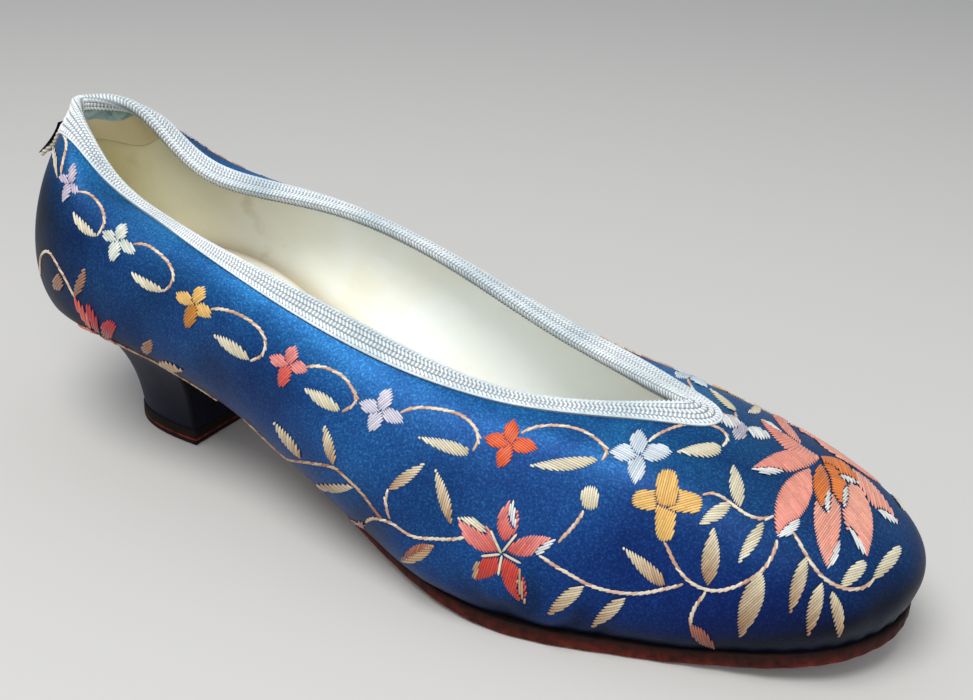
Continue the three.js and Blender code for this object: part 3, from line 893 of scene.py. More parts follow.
def make_braid_stitches():
    rng = np.random.default_rng(5)
    blocks = []
    tints = []
    for index, (one, other, (outwards, upwards)) in enumerate(braid_ribs()):
        angle = arc_angles((one[0] + other[0]) / 2, BRAID_PITCH)
        lean = BEAD_LEAN if index % 2 else -BEAD_LEAN
        here = angle[:-1]
        step = np.diff(angle)
        start = braid_surface(here + step * (0.5 - lean), *one)
        end = braid_surface(here + step * (0.5 + lean), *other)
        up = unit(braid_surface(here, 0.0, 0.0) - braid_surface(here, 1.0, 0.0))
        normal = upper_normal(here, row_at_depth(here, max(one[0], 0.0)))
        normal = unit(normal * outwards + up * upwards)
        side = unit(np.cross(normal, end - start)) * BRAID_PITCH * BEAD_HALF
        blocks.append(straight_stitches(start, end, side, normal, BEAD_HEIGHT, 0.0))
        tints.append(bead_tint(rgb(250, 254, 255), len(here), rng, BEAD_SIDE_SHADE))
    for depth, wide, shade in ((BRAID_WIDTH - 0.12, 0.28, 0.85), (FOLD - 0.15, 0.22, 0.9)):
        angle = arc_angles(depth, BRAID_PITCH * 1.3)
        begin = angle[:-1]
        finish = begin + 1.5 * np.diff(angle)
        start = braid_surface(begin, depth - 0.05, GAP + 0.2)
        end = braid_surface(finish, depth + 0.05, GAP + 0.2)
        normal = upper_normal(begin, row_at_depth(begin, depth))
        side = unit(np.cross(normal, end - start)) * wide
        blocks.append(straight_stitches(start, end, side, normal, 0.4, 0.02))
        # Sides darkened by painted shade
        tints.append(bead_tint(rgb(240, 250, 254) * shade, len(start), rng, 0.75))
    points = np.concatenate(blocks)
    make_piece("braid_stitches", points, stitch_faces(len(points)), braid_material, (),
               np.concatenate(tints))


# How far below the collar's edge the lining's top edge covers the ribbon
LINING_EDGE = 6.2


def make_facing():
    columns = 90
    reach = 0.75
    angle = np.linspace(np.pi - reach, np.pi + reach, columns)
    rows = []
    tints = []
    tear = 2.4 * bell(angle, np.pi + 0.12, 0.16) + 1.6 * bell(angle, np.pi - 0.55, 0.12)
    lining_edge = LINING_EDGE - tear + 0.3 * np.sin(23 * angle)
    for share in np.linspace(0, 1, 40):
        depth = FACING_BOTTOM + (BRAID_INSIDE - 0.5 - FACING_BOTTOM) * share
        row = row_at_depth(angle, depth)
        ripple = 0.12 * np.sin(14 * angle + 3 * share) * (1 - share)
        covered = np.clip((depth - lining_edge) * 3, 0, 1)
        tints.append(np.repeat(covered[:, None], 3, 1))
        lift = -(WALL + 0.45) - 0.15 * ripple - 0.1 * covered
        rows.append(off_upper(angle, row, lift))
    hem = rows[0] + upper_normal(angle, row_at_depth(angle, FACING_BOTTOM)) * 0.35
    rows.insert(0, hem)
    tints.insert(0, tints[0])
    make_sheet("back_ribbon", rows, ribbon_material, ["collar_facing"], tints, flip=True)


# Directions at the back of the shoe, where the tab hangs
BACKWARDS = np.array([-1.0, 0, 0])
LEFTWARDS = np.array([0.0, 1.0, 0.0])

CORD_RADIUS = 0.55
CORD_STAND = 0.5
CORD_STEPS = 60
CORD_SIDES = 10
# Share of the tab's length, and how far across it the cord lies: -1 is the near edge
CORD_PATH = {0: -0.8, 0.3: -0.95, 0.55: -0.85, 0.8: -0.95, 1: -1}


def tab_centre(share):
    """Middle of the tab at a share of its length, and how wide it is there."""
    half_turn = np.full_like(share, np.pi)
    row = row_at_depth(half_turn, BRAID_WIDTH + GAP + TAB_LENGTH * share)
    stand = 2 * GAP + TAB_LEAN * share ** TAB_LEAN_CURVE
    return off_upper(half_turn, row, stand), TAB_WIDTH * np.sqrt(1 - 0.35 * share ** 4)


def make_tab_cord():
    """The cream cord sewn down the inner face of the tab."""
    share = np.linspace(0, 1, 24)
    middle, width = tab_centre(share)
    across = curve_of(CORD_PATH)(share)
    line = middle + LEFTWARDS * (across * width / 2)[:, None] - BACKWARDS * CORD_STAND
    walked = walked_along(line)
    path = on_line(line, walked, np.linspace(0, walked[-1], CORD_STEPS))
    along = unit(np.gradient(path, axis=0))
    first = unit(np.cross(along, BACKWARDS))
    second = np.cross(along, first)
    length = np.arange(CORD_STEPS)
    rings = []
    tints = []
    for turn in np.linspace(0, 2 * np.pi, CORD_SIDES, endpoint=False):
        strand = 0.5 + 0.5 * np.cos(2 * turn - 0.9 * length)
        radius = CORD_RADIUS * (0.78 + 0.34 * strand)
        ring = first * math.cos(turn) + second * math.sin(turn)
        rings.append(path + ring * radius[:, None])
        # Painted shade in the grooves between the two strands, where the cord is thinner
        tints.append(rgb(232, 224, 202) * (0.55 + 0.5 * strand)[:, None])
    make_sheet("tab_cord", np.stack(rings, 1), silk_material, (), np.stack(tints, 1),
               goes_round=True)


def make_tab():
    share = np.linspace(0, 1, 30)
    middle, width = tab_centre(share)
    across = np.linspace(-1, 1, 17)
    rows = []
    for side, thickness, crown in ((1, 1.0, 0.5), (-1, 0.1, 0)):
        for place in across * side:
            lift = thickness + crown * (1 - place ** 2)
            rows.append(middle + LEFTWARDS * (place * width / 2)[:, None] + BACKWARDS * lift)
    make_sheet("tab_satin", rows, dark_satin_material, ["back_tab"],
               np.ones_like(rows))


make_satin_skin()
make_lining()
make_insole()
make_outsole()
make_heel()
make_top_piece()
make_braid_band()
make_braid_stitches()
make_facing()
make_tab()
make_tab_cord()


# The photo's camera, found by fitting the last to the photo: millimetres, degrees and pixels

PHOTO_WIDTH = 973
PHOTO_HEIGHT = 700
CAMERA_PLACE = np.array([257.14, -221.0, 161.41])
CAMERA_YAW = math.radians(29.086)
CAMERA_PITCH = math.radians(-25.176)
CAMERA_ROLL = math.radians(2.032)
FOCAL_PIXELS = 1207.4
SENSOR_WIDTH = 36


def camera_axes():
    """Right, up and forward of the photo's camera."""
    level = math.cos(CAMERA_PITCH)
    forward = np.array([
        -math.sin(CAMERA_YAW) * level, math.cos(CAMERA_YAW) * level, math.sin(CAMERA_PITCH)])
    right = np.array([math.cos(CAMERA_YAW), math.sin(CAMERA_YAW), 0])
    up = np.cross(right, forward)
    rolled_right = right * math.cos(CAMERA_ROLL) + up * math.sin(CAMERA_ROLL)
    rolled_up = up * math.cos(CAMERA_ROLL) - right * math.sin(CAMERA_ROLL)
    return rolled_right, rolled_up, forward


RIGHT, UP, FORWARD = camera_axes()


def make_camera():
    data = bpy.data.cameras.new("photo_camera")
    data.sensor_width = SENSOR_WIDTH
    data.lens = FOCAL_PIXELS * SENSOR_WIDTH / PHOTO_WIDTH
    data.clip_start = 0.01
    data.clip_end = 20
    camera = bpy.data.objects.new("photo_camera", data)
    turned = Matrix(np.stack([RIGHT, UP, -FORWARD], 1).tolist()).to_4x4()
    camera.matrix_world = Matrix.Translation(Vector(to_row(CAMERA_PLACE))) @ turned
    bpy.context.scene.collection.objects.link(camera)
    bpy.context.scene.camera = camera


make_camera()


# From the photo's pixels to the surface of the upper


def to_pixels(points):
    from_camera = points - CAMERA_PLACE
    depth = from_camera @ FORWARD
    x = PHOTO_WIDTH / 2 + FOCAL_PIXELS * (from_camera @ RIGHT) / depth
    y = PHOTO_HEIGHT / 2 - FOCAL_PIXELS * (from_camera @ UP) / depth
    return np.stack([x, y], -1)


# The stretch of the upper that the camera sees, how finely it is searched, and how squarely a place
# has to face the camera
SEEN_ANGLES = (-3.4, 0.7)
SEEN_ROWS = (0.004, 0.99)
SEARCH_GRID = (560, 150)
LEAST_FACING = 0.03
# The search is then refined by short steps, which are left out where the pixels hardly change
REFINE_STEPS = 3
SMALL_STEP = 1e-3
LONGEST_STEP = 0.01
LEAST_CHANGE = 50


class PhotoMap:
    """Finds where a pixel lies on the side of the upper that the camera sees."""

    def __init__(self):
        angle, row = np.meshgrid(np.linspace(*SEEN_ANGLES, SEARCH_GRID[0]),
                                 np.linspace(*SEEN_ROWS, SEARCH_GRID[1]))
        point = upper_point(angle, row)
        towards = np.einsum("...i,...i", upper_normal(angle, row), unit(CAMERA_PLACE - point))
        seen = towards > LEAST_FACING
        self.angle = angle[seen]
        self.row = row[seen]
        pixels = to_pixels(point[seen])
        self.tree = kdtree.KDTree(len(pixels))
        for index, (x, y) in enumerate(pixels):
            self.tree.insert((x, y, 0), index)
        self.tree.balance()

    def find(self, pixels):
        flat = pixels.reshape(-1, 2)
        nearest = [self.tree.find((x, y, 0))[1] for x, y in flat]
        angle = self.angle[nearest]
        row = self.row[nearest]
        for _ in range(REFINE_STEPS):
            here = to_pixels(upper_point(angle, row))
            by_angle = (to_pixels(upper_point(angle + SMALL_STEP, row)) - here) / SMALL_STEP
            by_row = (to_pixels(upper_point(angle, row + SMALL_STEP)) - here) / SMALL_STEP
            miss = flat - here
            cross = by_angle[:, 0] * by_row[:, 1] - by_angle[:, 1] * by_row[:, 0]
            cross = np.where(np.abs(cross) < LEAST_CHANGE, np.inf, cross)
            more_angle = (miss[:, 0] * by_row[:, 1] - miss[:, 1] * by_row[:, 0]) / cross
            more_row = (by_angle[:, 0] * miss[:, 1] - by_angle[:, 1] * miss[:, 0]) / cross
            angle = angle + np.clip(more_angle, -LONGEST_STEP, LONGEST_STEP)
            row = np.clip(row + np.clip(more_row, -LONGEST_STEP, LONGEST_STEP), 0.002, 0.995)
        return angle.reshape(pixels.shape[:-1]), row.reshape(pixels.shape[:-1])


photo_map = PhotoMap()

# Silk colours, first at a motif's base and last at its tip
SILKS = {
    "cream": ((214, 204, 172), (236, 230, 206)),
    "cream_tan": ((226, 216, 184), (172, 128, 92)),
    "tan_cream": ((178, 136, 98), (232, 222, 192)),
    "tan": ((186, 150, 112), (198, 164, 126)),
    "brown": ((150, 104, 78), (176, 128, 98)),
    "red_brown": ((176, 108, 86), (132, 66, 50)),
    "lilac": ((178, 166, 190), (206, 196, 212)),
    "mint": ((206, 216, 206), (226, 232, 222)),
    "gold": ((236, 184, 96), (240, 196, 116)),
    "amber": ((206, 140, 52), (196, 122, 36)),
    "coral": ((232, 128, 122), (240, 150, 142)),
    "rose_red": ((226, 104, 92), (214, 74, 62)),
    "pearl": ((206, 204, 222), (222, 220, 234)),
    "orange_red": ((238, 106, 52), (232, 92, 42)),
    "ice": ((200, 216, 230), (220, 230, 238)),
    "white": ((222, 226, 226), (232, 234, 232)),
    "grey_lilac": ((176, 172, 186), (188, 184, 196)),
    "pink": ((236, 158, 138), (240, 148, 132)),
    "pink_light": ((240, 172, 150), (238, 160, 140)),
    "orange": ((226, 124, 52), (234, 132, 60)),
    "crimson": ((178, 30, 42), (190, 36, 46)),
    "red": ((206, 66, 52), (196, 52, 40)),
    "pink_red": ((214, 86, 80), (238, 150, 140)),
}
STEM_SILKS = np.array([
    rgb(240, 222, 196), rgb(222, 184, 158), rgb(244, 232, 210), rgb(206, 164, 138)])
EDGE_STEM_SILKS = np.array([rgb(196, 160, 124), rgb(166, 112, 84), rgb(208, 178, 142)])
# A stem's stitches, in millimetres
STEM_PITCH = 1.35
STEM_STITCH = 2.6
STEM_WIDTH = 0.3
STEM_TWIST = 0.22
STEM_HEIGHT = 0.36
STEM_LIFT = 0.08
# The toe flower's own middle line, as an angle from the toe, and how it leans further at one height
FLOWER_MIDDLE = 0.045
FLOWER_LEAN = 0.09
FLOWER_HEIGHT = 0.63
FLOWER_LEAN_REACH = 0.11
FLOWER_LEAN_SPREAD = 0.35


# Filled motifs. Base and tip are pixels of the photo and width is in pixels. Start and end say
# how blunt the base and the tip are: 1 is pointed and less is blunter. Bend pushes the middle
# sideways, slant is the threads' angle to the motif in degrees, gap is their spacing in pixels,
# and rise lifts them in millimetres. Margin is the satin left bare round a motif that lies over
# another one. Both says that the motif is also on the shoe's other side.
MOTIF = {"start": 0.8, "end": 1.0, "bend": 0, "slant": 30, "gap": 2.3, "rise": 0, "both": True,
         "margin": 1.2}


def filled(base, tip, width, silk, **own):
    return {"base": base, "tip": tip, "width": width, "silk": silk, **own}


def group(*motifs, **shared):
    """Motifs that may lie over one another, the topmost first, with what they share."""
    return [{**MOTIF, **shared, **motif} for motif in motifs]


LEAVES = group(
    filled((57.5, 178), (52, 141), 4, "cream", bend=-1, slant=8, gap=1.2),
    filled((97, 237), (73.6, 212), 9, "cream", bend=3),
    filled((163.5, 291.5), (131, 271.5), 9.5, "cream", bend=3),
    filled((249, 360), (213.4, 334.2), 12, "cream"),
    filled((340, 411), (304.5, 388), 13, "cream"),
    filled((469, 453), (417.8, 437), 13, "cream", start=0.5),
    filled((599, 459.6), (529.5, 465.4), 13, "cream", bend=2),
    filled((721.5, 449.7), (676, 452), 14.5, "cream", start=0.5),
    filled((57.9, 290.5), (58.6, 273.8), 10, "brown", start=0.5),
    filled((74.5, 296), (85, 268.6), 8.5, "brown", bend=-1),
    filled((144, 352.5), (152, 340), 11, "brown", start=0.5),
    filled((159, 361.5), (183, 371), 8, "tan", bend=-1),
    filled((302.5, 459), (274.2, 421.7), 8.5, "tan_cream"),
    filled((334.5, 465), (325.4, 425), 10.5, "tan_cream", bend=1),
    filled((353.5, 486.5), (316, 484.2), 9, "cream_tan", bend=3),
    filled((388.6, 489.8), (424.6, 463.5), 11, "tan_cream"),
    filled((450.3, 523.8), (435.4, 468.8), 11.5, "tan_cream"),
    filled((363, 531), (354.5, 523), 7, "red_brown"),
    filled((584, 585), (547.5, 612.8), 14, "cream_tan"),
    filled((625.4, 596.9), (591, 627), 13, "cream_tan"),
    filled((664.2, 585), (623, 547), 14.5, "tan_cream", start=0.5),
    filled((707.8, 585.5), (714, 527.5), 18, "tan_cream"),
    filled((739.4, 507), (733.3, 464.5), 14.5, "cream"),
    filled((731, 504), (699.2, 524.2), 14, "cream"),
    filled((763.6, 523), (738, 563), 12.5, "cream"),
    filled((761.5, 571.5), (739.2, 637), 22, "cream_tan"),
    filled((690, 624.5), (715.1, 648), 12, "red_brown"),
    filled((806.5, 556), (789.5, 612.8), 14, "cream_tan"),
    filled((821.8, 581.5), (807, 634.8), 14, "cream_tan"),
    filled((831.5, 591), (837.5, 636), 11.5, "cream_tan", bend=3),
    filled((841, 586.5), (865.6, 561.8), 14, "cream", end=0.6),
    filled((872.7, 580), (900.5, 547), 13, "cream", end=0.6),
    filled((434, 543.8), (401.5, 559.5), 9.5, "tan", bend=4),
    filled((434, 546.5), (401.5, 561.2), 9.5, "red_brown", bend=-4, slant=-50),
    filled((590, 510), (590.4, 486), 18, "cream", start=0.35, end=0.35, slant=8),
)

# Small flowers of the garland under the braid
# Columns: centre, width of a petal, silk, the third petal's silk, the petals' tips
GARLAND = (
    ((70.5, 183.3), 7.5, "lilac", "lilac",
     ((75, 164.5), (59.5, 174.5), (62.5, 201.5), (77, 194.5))),
    ((118, 240), 10.5, "mint", "mint",
     ((126, 223.5), (102.5, 232), (111.5, 262.5), (135.5, 254))),
    ((194.3, 303.3), 12, "gold", "amber",
     ((204.2, 286), (174.6, 292.5), (186, 329.5), (211.5, 317.5))),
    ((288.4, 363.7), 12, "coral", "rose_red",
     ((295.5, 345.5), (268.5, 356.8), (278.8, 388.5), (308, 371))),
    ((380.2, 409.6), 13, "pearl", "pearl",
     ((391, 388), (359, 402.5), (369.5, 432.3), (404, 422.5))),
    ((509.7, 443), 14, "orange_red", "orange_red",
     ((513.8, 419.5), (483.6, 437.5), (498.3, 468.5), (538.2, 448.6))),
    ((638.1, 453.5), 16, "ice", "ice",
     ((639.5, 429), (609.5, 452), (635, 484.5), (672.8, 452))),
)

GOLD_PETALS = group(
    filled((666.6, 507), (668, 469), 22.5, "gold", slant=12),
    filled((664, 498.5), (702.5, 504.5), 22, "gold", slant=-24),
    filled((667, 496), (664, 541.5), 20.5, "gold", slant=20),
    filled((669, 500.5), (632, 499.8), 20.5, "gold", slant=-14),
    start=0.25, end=0.3, gap=2.4, margin=0.2)

RED_PETALS = group(
    filled((498.5, 552), (457, 518), 24, "pink_red", slant=15),
    filled((504, 541.5), (512.6, 498), 21, "pink_red", slant=16),
    filled((507.5, 551.5), (555.2, 539.5), 20, "pink_red", slant=-38),
    filled((504, 558), (524.4, 607), 20, "red", slant=40),
    filled((498.5, 558), (472.8, 580.5), 20, "red", start=0.5, slant=-30),
)

HEEL_PETALS = group(
    filled((91, 328.5), (74.5, 296.3), 6.5, "rose_red", slant=12),
    filled((98.5, 334), (87, 302), 7.5, "crimson", slant=10),
    filled((106, 341), (110.7, 320.5), 14, "crimson", end=0.5, slant=10),
    filled((99.5, 336.5), (79.8, 327), 7, "orange_red", slant=10),
    filled((100.5, 336.5), (140, 357.5), 4.5, "crimson", slant=8),
)

# White and tan edges turned over on the red petals
PETAL_EDGES = group(
    filled((487, 533.5), (457, 518), 8.5, "cream", bend=-4, slant=12),
    filled((514.5, 528), (513, 498), 6.5, "white", bend=1.5, slant=10),
    filled((534, 554.5), (555.4, 539.6), 6.5, "white", slant=14),
    filled((519.5, 569), (524.6, 607), 5, "tan", bend=-2, slant=8),
    filled((479, 560), (472.6, 580.8), 5.5, "tan", slant=8),
)

SEPAL_TIPS = ((491.2, 529.8), (517.6, 533.8), (520.8, 563.8), (497.9, 575.2), (481.2, 555.3))
SEPALS = group(*(filled((502, 553.3), tip, 2.6, "cream") for tip in SEPAL_TIPS),
               start=0.4, end=0.4, slant=0, gap=2.6, rise=0.25, margin=0.8)

# The big toe flower's near half, the topmost first. The far half is its mirror image.
TOE_PETALS = group(
    filled((850, 483), (866.8, 557), 28.5, "pink_light", bend=-0.5, slant=-28),
    filled((827, 486), (827.4, 568.8), 27, "pink_light", start=0.6, slant=35),
    filled((808, 469.5), (777, 536), 32, "pink", bend=-1, slant=-62),
    filled((818.5, 459.5), (751.7, 468.7), 22, "pink", bend=-2.5, slant=50),
    filled((849, 468), (897.2, 524.8), 15, "pink_light", slant=25, rise=0.06, both=False),
    margin=1.8)

TOE_TIPS = group(
    filled((784, 471.5), (751.6, 469), 6.5, "white", bend=1.5, slant=8),
    filled((800, 520), (776.4, 537), 9.5, "white", bend=2, slant=12),
    filled((839.5, 541), (827.2, 570), 6, "white", bend=1, slant=8),
    filled((847.3, 527), (866, 558), 5.5, "white", slant=6),
    filled((877.5, 509.7), (897.2, 525), 6, "white", slant=12, both=False),
    gap=1.9, margin=0.2, rise=0.05)

TOE_HEART = group(
    filled((829, 491), (827.6, 514), 5.5, "white", bend=-1.5),
    filled((846, 486), (843.4, 508), 5, "white"),
    filled((838, 475.5), (858.8, 484.6), 5, "white"),
    filled((820, 465), (827.4, 514), 17, "orange", bend=-2, slant=48, margin=1.2),
    filled((824, 465), (843.4, 508), 17, "orange", bend=4, slant=-44, margin=1.2),
    filled((820, 457), (858.6, 484.6), 13, "orange", bend=3, margin=1.2),
    gap=2.2, rise=0.08, margin=0.4, both=False)

# The flower at the throat's point lies on the middle line
THROAT_FLOWER = group(
    filled((741, 427), (715.5, 414.5), 12, "white", both=False),
    filled((746, 428.5), (770, 438.5), 11, "white", both=False),
    filled((742.5, 427.5), (735.5, 440), 14, "grey_lilac", slant=14),
)

# Stems, as pixels of the photo from end to end. Those called an edge have the darker silks.
STEMS = {
    "tab_loop": ((56, 127.4), (64.4, 135.8), (66.7, 146.5), (63.6, 161.8), (60.6, 174)),
    "arch_1": ((76.6, 190.9), (85.8, 192.4), (96.5, 200.1), (103.4, 212.4), (105, 221.5),
               (102.7, 229.2), (97, 236)),
    "arch_2": ((133.3, 243.7), (145.5, 244.5), (157.8, 252.1), (168.5, 262.9), (173, 275.1),
               (170.8, 284.3), (162.4, 290.8)),
    "arch_3": ((210.3, 308.4), (223, 309.4), (241.3, 315.5), (255.1, 324.6), (264.3, 336.1),
               (265.4, 347.6), (260.8, 356.8), (249.4, 360.3)),
    "arch_4": ((304.5, 367.1), (319.4, 366), (333.2, 370.6), (346.9, 379.7), (353.8, 391.2),
               (358, 400.4), (351.5, 407.3), (342, 411)),
    "arch_5": ((399.7, 411.9), (418.1, 407.3), (434.2, 408.4), (452.5, 411.9), (468.6, 419.9),
               (477.8, 432.5), (480.1, 439.4), (472, 450)),
    "arch_6": ((520.6, 432.7), (537.5, 426.6), (554.5, 425.4), (573.9, 427.8), (590.9, 435.1),
               (605.4, 447.2), (609, 452.1), (601, 459.6)),
    "arch_7": ((647.8, 441.2), (663.6, 431.5), (680.5, 425.4), (695.1, 423), (712, 425.4),
               (724.1, 431.5), (729, 438.7), (721.5, 446)),
    "heel_hook": ((41, 274), (40.5, 262), (43.2, 252.5), (46.1, 251), (53.5, 257.6),
                  (59.3, 267.9), (65.2, 278.1), (71.1, 289.9), (75, 298)),
    "heel_edge": ((103.3, 337.5), (123.9, 347.5), (141.5, 355), (156.2, 362), (170.8, 371.6),
                  (191.4, 385), (206, 396), (225.1, 408)),
    "waist_edge": ((243.5, 417.5), (252.5, 425.3), (263.5, 435.1), (277, 448.6), (286.1, 457),
                   (303, 461.7), (319.8, 464.5), (333.8, 467.3), (346.5, 478.6),
                   (360.5, 492.6), (370.3, 506.6), (380.1, 519.3)),
    "vine_1": ((363, 524), (370.3, 519.8), (381.5, 520.7), (391.4, 523.5), (401.2, 530.5),
               (414, 537.4), (433.1, 538.9), (449.6, 539.7), (466.2, 537.2)),
    "branch": ((388.6, 519.5), (385.7, 506.6), (385, 495.4), (388.6, 489.8)),
    "vine_2": ((539.2, 554.6), (552.4, 564.6), (567.4, 572.9), (583.9, 582.8), (608.5, 590.9),
               (642.4, 593.3), (666.6, 588.4), (683.6, 584.8)),
    "bud_stem": ((557.5, 542), (572, 528), (584.5, 511)),
    "vine_3": ((665.2, 541.5), (673.9, 561.8), (686, 578.7), (705.4, 589.6), (715.1, 590.9),
               (741.8, 583.6), (766, 566.6), (778.1, 540)),
    "vine_4": ((702, 493.9), (705.4, 492.7), (724.8, 498.8), (744.2, 513.3), (761.2, 519.4),
               (774.5, 516.7)),
    "vine_5": ((792.7, 530.3), (804.8, 552.1), (821.8, 576.3), (843.6, 588.4), (865.4, 587.2),
               (875, 578.7)),
    "twig": ((706.6, 592), (692.1, 612.7), (689.7, 625.5)),
}


def motif_outline(motif):
    """A closed outline in pixels, from the base up one side and down the other."""
    base = np.array(motif["base"], float)
    tip = np.array(motif["tip"], float)
    start = motif["start"]
    end = motif["end"]
    share = np.linspace(0, 1, 40)
    belly = start / (start + end)
    peak = belly ** start * (1 - belly) ** end
    half = motif["width"] / 2 * share ** start * (1 - share) ** end / peak
    axis = unit(tip - base)
    left = np.array([axis[1], -axis[0]])
    middle = base + (tip - base) * share[:, None]
    middle = middle + left * (motif["bend"] * np.sin(np.pi * share))[:, None]
    one = middle + left * half[:, None]
    other = middle - left * half[:, None]
    return np.concatenate([one, other[::-1]])


def crossing_span(outline, along, across, level):
    """Where a line at one level crosses an outline, as its first and last place, or None."""
    v = outline @ across - level
    following = np.roll(v, -1)
    cut = v * following < 0
    if not cut.any():
        return None
    u = outline @ along
    share = v[cut] / (v[cut] - following[cut])
    crossing = u[cut] + (np.roll(u, -1)[cut] - u[cut]) * share
    return crossing.min(), crossing.max()


# Pixels: a thread that a cover cuts shorter than the shortest is left out, and a long one is cut
# into pieces of about the usual length, at scattered places, which overlap
SHORTEST_THREAD = 3
USUAL_THREAD = 17
CUT_SCATTER = 4
THREAD_OVERLAP = 2.2
LOOSE_END = 0.6


def uncovered(low, high, covers):
    """The parts of a span that no cover hides."""
    parts = [(low, high)]
    for cover_low, cover_high in covers:
        if cover_high < low or cover_low > high:
            continue
        halves = [half for first, last in parts
                  for half in ((first, min(last, cover_low)), (max(first, cover_high), last))]
        parts = [(first, last) for first, last in halves if last - first > SHORTEST_THREAD]
    return parts


def threads_across(motif, covers, rng):
    """Threads that fill a motif where nothing lies over it, in the frame of its slant."""
    outline = motif_outline(motif)
    axis = np.array(motif["tip"], float) - motif["base"]
    turn = math.atan2(axis[1], axis[0]) + math.radians(motif["slant"])
    along = np.array([math.cos(turn), math.sin(turn)])
    across = np.array([-along[1], along[0]])
    v = outline @ across
    threads = []
    for level in np.arange(v.min() + motif["gap"] * 0.3, v.max(), motif["gap"]):
        span = crossing_span(outline, along, across, level)
        if span is None:
            continue
        over = []
        for cover in covers:
            cover_span = crossing_span(motif_outline(cover), along, across, level)
            if cover_span:
                over.append((cover_span[0] - cover["margin"], cover_span[1] + cover["margin"]))
        low = span[0] - rng.uniform(0, LOOSE_END)
        high = span[1] + rng.uniform(0, LOOSE_END)
        for first, last in uncovered(low, high, over):
            pieces = max(1, round((last - first) / USUAL_THREAD))
            cuts = np.linspace(first, last, pieces + 1)
            cuts[1:-1] += rng.uniform(-CUT_SCATTER, CUT_SCATTER, pieces - 1)
            for begin, finish in zip(cuts[:-1], cuts[1:]):
                begin = max(first, begin - THREAD_OVERLAP)
                finish = min(last, finish + THREAD_OVERLAP)
                threads.append((begin, finish, level, low, high))
    return threads, along, across


# Painted shade at a thread's sides, where it dips to the next one: how dark the sides are
THREAD_SIDE_SHADE = 0.58


def silk_tint(motif, pixels, rng):
    """Colour of each thread point, shaded from the motif's base to its tip."""
    base = np.array(motif["base"], float)
    axis = np.array(motif["tip"], float) - base
    share = (pixels - base) @ axis / (axis @ axis)
    share = np.clip(share + rng.uniform(-0.13, 0.13, (len(pixels), 1)), 0, 1)
    first, last = (rgb(*colour) for colour in SILKS[motif["silk"]])
    tint = first + (last - first) * share[..., None]
    return tint * rng.uniform(0.9, 1.2, (len(pixels), 1, 1))


# A filled motif's padding in millimetres at its edge, and how much higher it is in the middle. A
# thread's half width and height over the padding are shares of the gap, its foot one of the padding.
PAD_EDGE = 0.06
PAD_MIDDLE = 0.3
THREAD_HALF = 0.52
THREAD_HEIGHT = 0.075
THREAD_FOOT = 0.8


def chart_motif(motif, covers, rng):
    """A motif's threads as pixels of three lines each, with lifts in millimetres and tints."""
    threads, along, across = threads_across(motif, covers, rng)
    begin, finish, level, low, high = np.array(threads).T[..., None]
    place = begin + (finish - begin) * STITCH_ALONG
    middle = place[..., None] * along + level[..., None] * across
    wide = (motif["gap"] * THREAD_HALF * STITCH_WIDTH)[None, :, None] * across
    share = (place - low) / np.maximum(high - low, 1e-6)
    pad = PAD_EDGE + PAD_MIDDLE * np.clip(4 * share * (1 - share), 0, 1) ** 0.5 + motif["rise"]
    height = pad + THREAD_HEIGHT * motif["gap"] * STITCH_HEIGHT
    lines = np.stack([middle - wide, middle, middle + wide], 2)
    lifts = np.stack([pad * THREAD_FOOT, height, pad * THREAD_FOOT], 2)
    tint = silk_tint(motif, middle, rng)
    # Painted shade on each thread's two side lines
    return lines, lifts, np.stack([tint * THREAD_SIDE_SHADE, tint, tint * THREAD_SIDE_SHADE], 2)


def petals_of(centre, width, silk, third_silk, tips):
    """Four small petals from a garland flower's row."""
    centre = np.array(centre)
    petals = []
    for tip, own_silk in zip(tips, (silk, silk, third_silk, silk)):
        inner = centre - (np.array(tip) - centre) * 0.06
        petals.append(filled(inner, tip, width * 1.1, own_silk))
    return group(*petals, start=0.85, end=0.95, slant=24, gap=2.2, margin=0)


def smooth_path(points, steps=12):
    """A smooth line through given points."""
    points = np.array(points, float)
    length = walked_along(points)
    fine = np.linspace(0, length[-1], steps * len(points))
    return np.stack([curve_through(length, points[:, k])(fine) for k in (0, 1)], -1)


def mirrored(angle, row):
    """The same place on the shoe's other side, about the toe flower's own middle line."""
    toe_side = bell(angle, 0, 0.9) * np.clip((1 - row) * 6, 0, 1)
    lean = FLOWER_LEAN * bell(row, FLOWER_HEIGHT, FLOWER_LEAN_REACH)
    lean = lean * bell(angle, 0, FLOWER_LEAN_SPREAD)
    return -angle + 2 * (FLOWER_MIDDLE + lean) * toe_side


def stem_threads(pixels, silks, rng):
    """Two strands twisted along a line, for both sides of the shoe."""
    angle, row = photo_map.find(smooth_path(pixels))
    seed = rng.integers(1 << 30)
    sides = []
    for mirror in (1, -1):
        own = np.random.default_rng(seed)
        here = angle if mirror == 1 else mirrored(angle, row)
        line = satin_point(here, row)
        normals = upper_normal(here, row)
        walked = walked_along(line)
        begin = np.arange(0, max(walked[-1] - STEM_STITCH * 0.5, 0.1), STEM_PITCH)
        begin = begin + own.uniform(-0.12, 0.12, len(begin)) * (begin > 0)
        finish = np.minimum(begin + STEM_STITCH * own.uniform(0.9, 1.1, len(begin)), walked[-1])
        start = on_line(line, walked, begin)
        end = on_line(line, walked, finish)
        normal = unit(on_line(normals, walked, (begin + finish) / 2))
        side = unit(np.cross(normal, end - start)) * mirror
        strip = straight_stitches(start - side * STEM_TWIST, end + side * STEM_TWIST,
                                  side * STEM_WIDTH * mirror, normal, STEM_HEIGHT, STEM_LIFT)
        chosen = silks[own.integers(len(silks), size=len(begin))]
        tint = chosen * own.uniform(0.9, 1.08, (len(begin), 1))
        # Painted shade on each stitch's sides
        side_shades = np.array([THREAD_SIDE_SHADE, 1, THREAD_SIDE_SHADE])[:, None]
        tint = np.broadcast_to(tint[:, None, None] * side_shades, strip.shape)
        sides.append((strip, tint))
    return sides


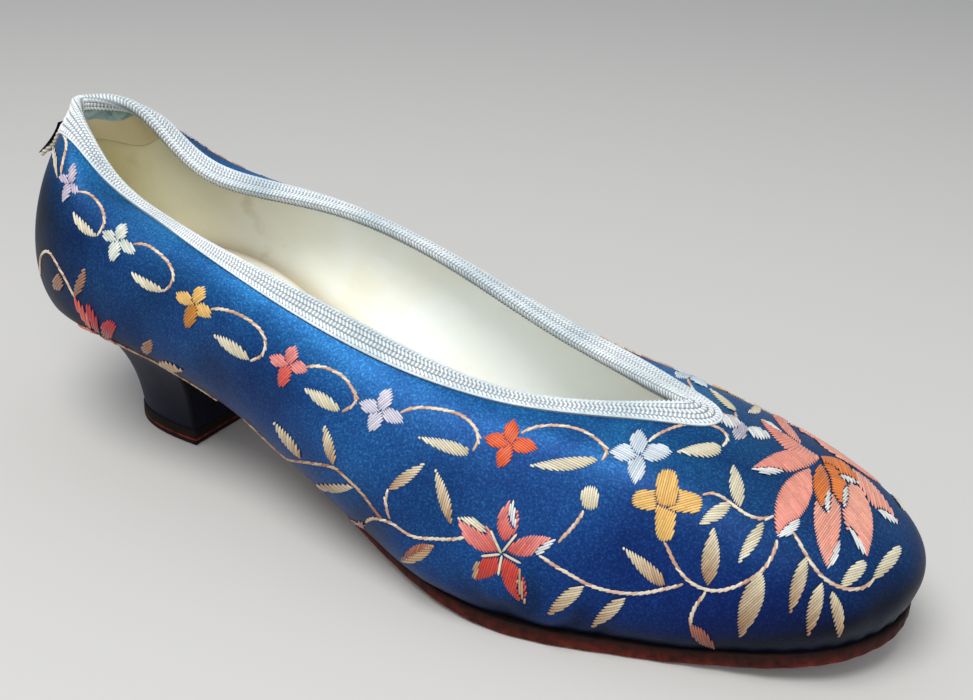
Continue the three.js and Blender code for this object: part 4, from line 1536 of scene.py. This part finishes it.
def layered(motifs):
    """Pairs of each motif and those before it in its group, which lie over it."""
    return [(motif, motifs[:index]) for index, motif in enumerate(motifs)]


def make_embroidery():
    rng = np.random.default_rng(11)
    pairs = layered(TOE_HEART + TOE_TIPS + TOE_PETALS)
    pairs += layered(SEPALS + PETAL_EDGES + RED_PETALS)
    pairs += layered(THROAT_FLOWER)
    pairs += layered(GOLD_PETALS)
    for flower in GARLAND:
        pairs += layered(petals_of(*flower))
    pairs += [(motif, []) for motif in LEAVES + HEEL_PETALS]
    charted = [chart_motif(motif, covers, rng) for motif, covers in pairs]
    lines, lifts, tints = (np.concatenate(each) for each in zip(*charted))
    both = np.concatenate([
        np.full(len(chart[0]), motif["both"]) for (motif, _), chart in zip(pairs, charted)
    ])
    angle, row = photo_map.find(lines)
    stems = []
    for name, points in STEMS.items():
        silks = EDGE_STEM_SILKS if "edge" in name else STEM_SILKS
        stems.append(stem_threads(points, silks, rng))
    for name, mirror, index in (("right", 1, 0), ("left", -1, 1)):
        chosen = both | (mirror == 1)
        here = angle[chosen] if mirror == 1 else mirrored(angle[chosen], row[chosen])
        flat = satin_point(here, row[chosen], lifts[chosen])
        points = np.concatenate([flat] + [stem[index][0] for stem in stems])
        tint = [tints[chosen].reshape(-1, 3)]
        tint += [stem[index][1].reshape(-1, 3) for stem in stems]
        faces = stitch_faces(len(points), flip=mirror == 1)
        make_piece(f"embroidery_{name}_side", points, faces, silk_material, (),
                   np.concatenate(tint))


make_embroidery()


# Floor and light


def make_floor():
    """A pale floor in metres, a little below the shoe."""
    half = 3.0
    corners = [(-half, -half, 0), (half, -half, 0), (half, half, 0), (-half, half, 0)]
    mesh = bpy.data.meshes.new("floor")
    mesh.from_pydata(corners, [], [(0, 1, 2, 3)])
    mesh.materials.append(make_floor_material())
    floor = bpy.data.objects.new("floor", mesh)
    floor.location.z = -0.0002
    bpy.context.scene.collection.objects.link(floor)


def make_light(name, place, size, power, colour):
    data = bpy.data.lights.new(name, "AREA")
    data.shape = "DISK"
    data.size = size
    data.energy = power
    data.color = colour
    light = bpy.data.objects.new(name, data)
    light.location = place
    light.rotation_euler = (-Vector(place)).to_track_quat("-Z", "Y").to_euler()
    bpy.context.scene.collection.objects.link(light)


def make_world():
    world = bpy.data.worlds.new("studio")
    world.use_nodes = True
    background = world.node_tree.nodes["Background"]
    background.inputs["Color"].default_value = (0.93, 0.95, 1.0, 1)
    background.inputs["Strength"].default_value = 0.5
    bpy.context.scene.world = world


make_floor()
make_world()
make_light("key", (0.0, -0.4, 0.95), 0.6, 8, (1.0, 0.99, 0.97))
make_light("fill", (0.7, -0.9, 0.7), 0.8, 4, (0.95, 0.97, 1.0))

bpy.context.scene.view_settings.view_transform = "Standard"
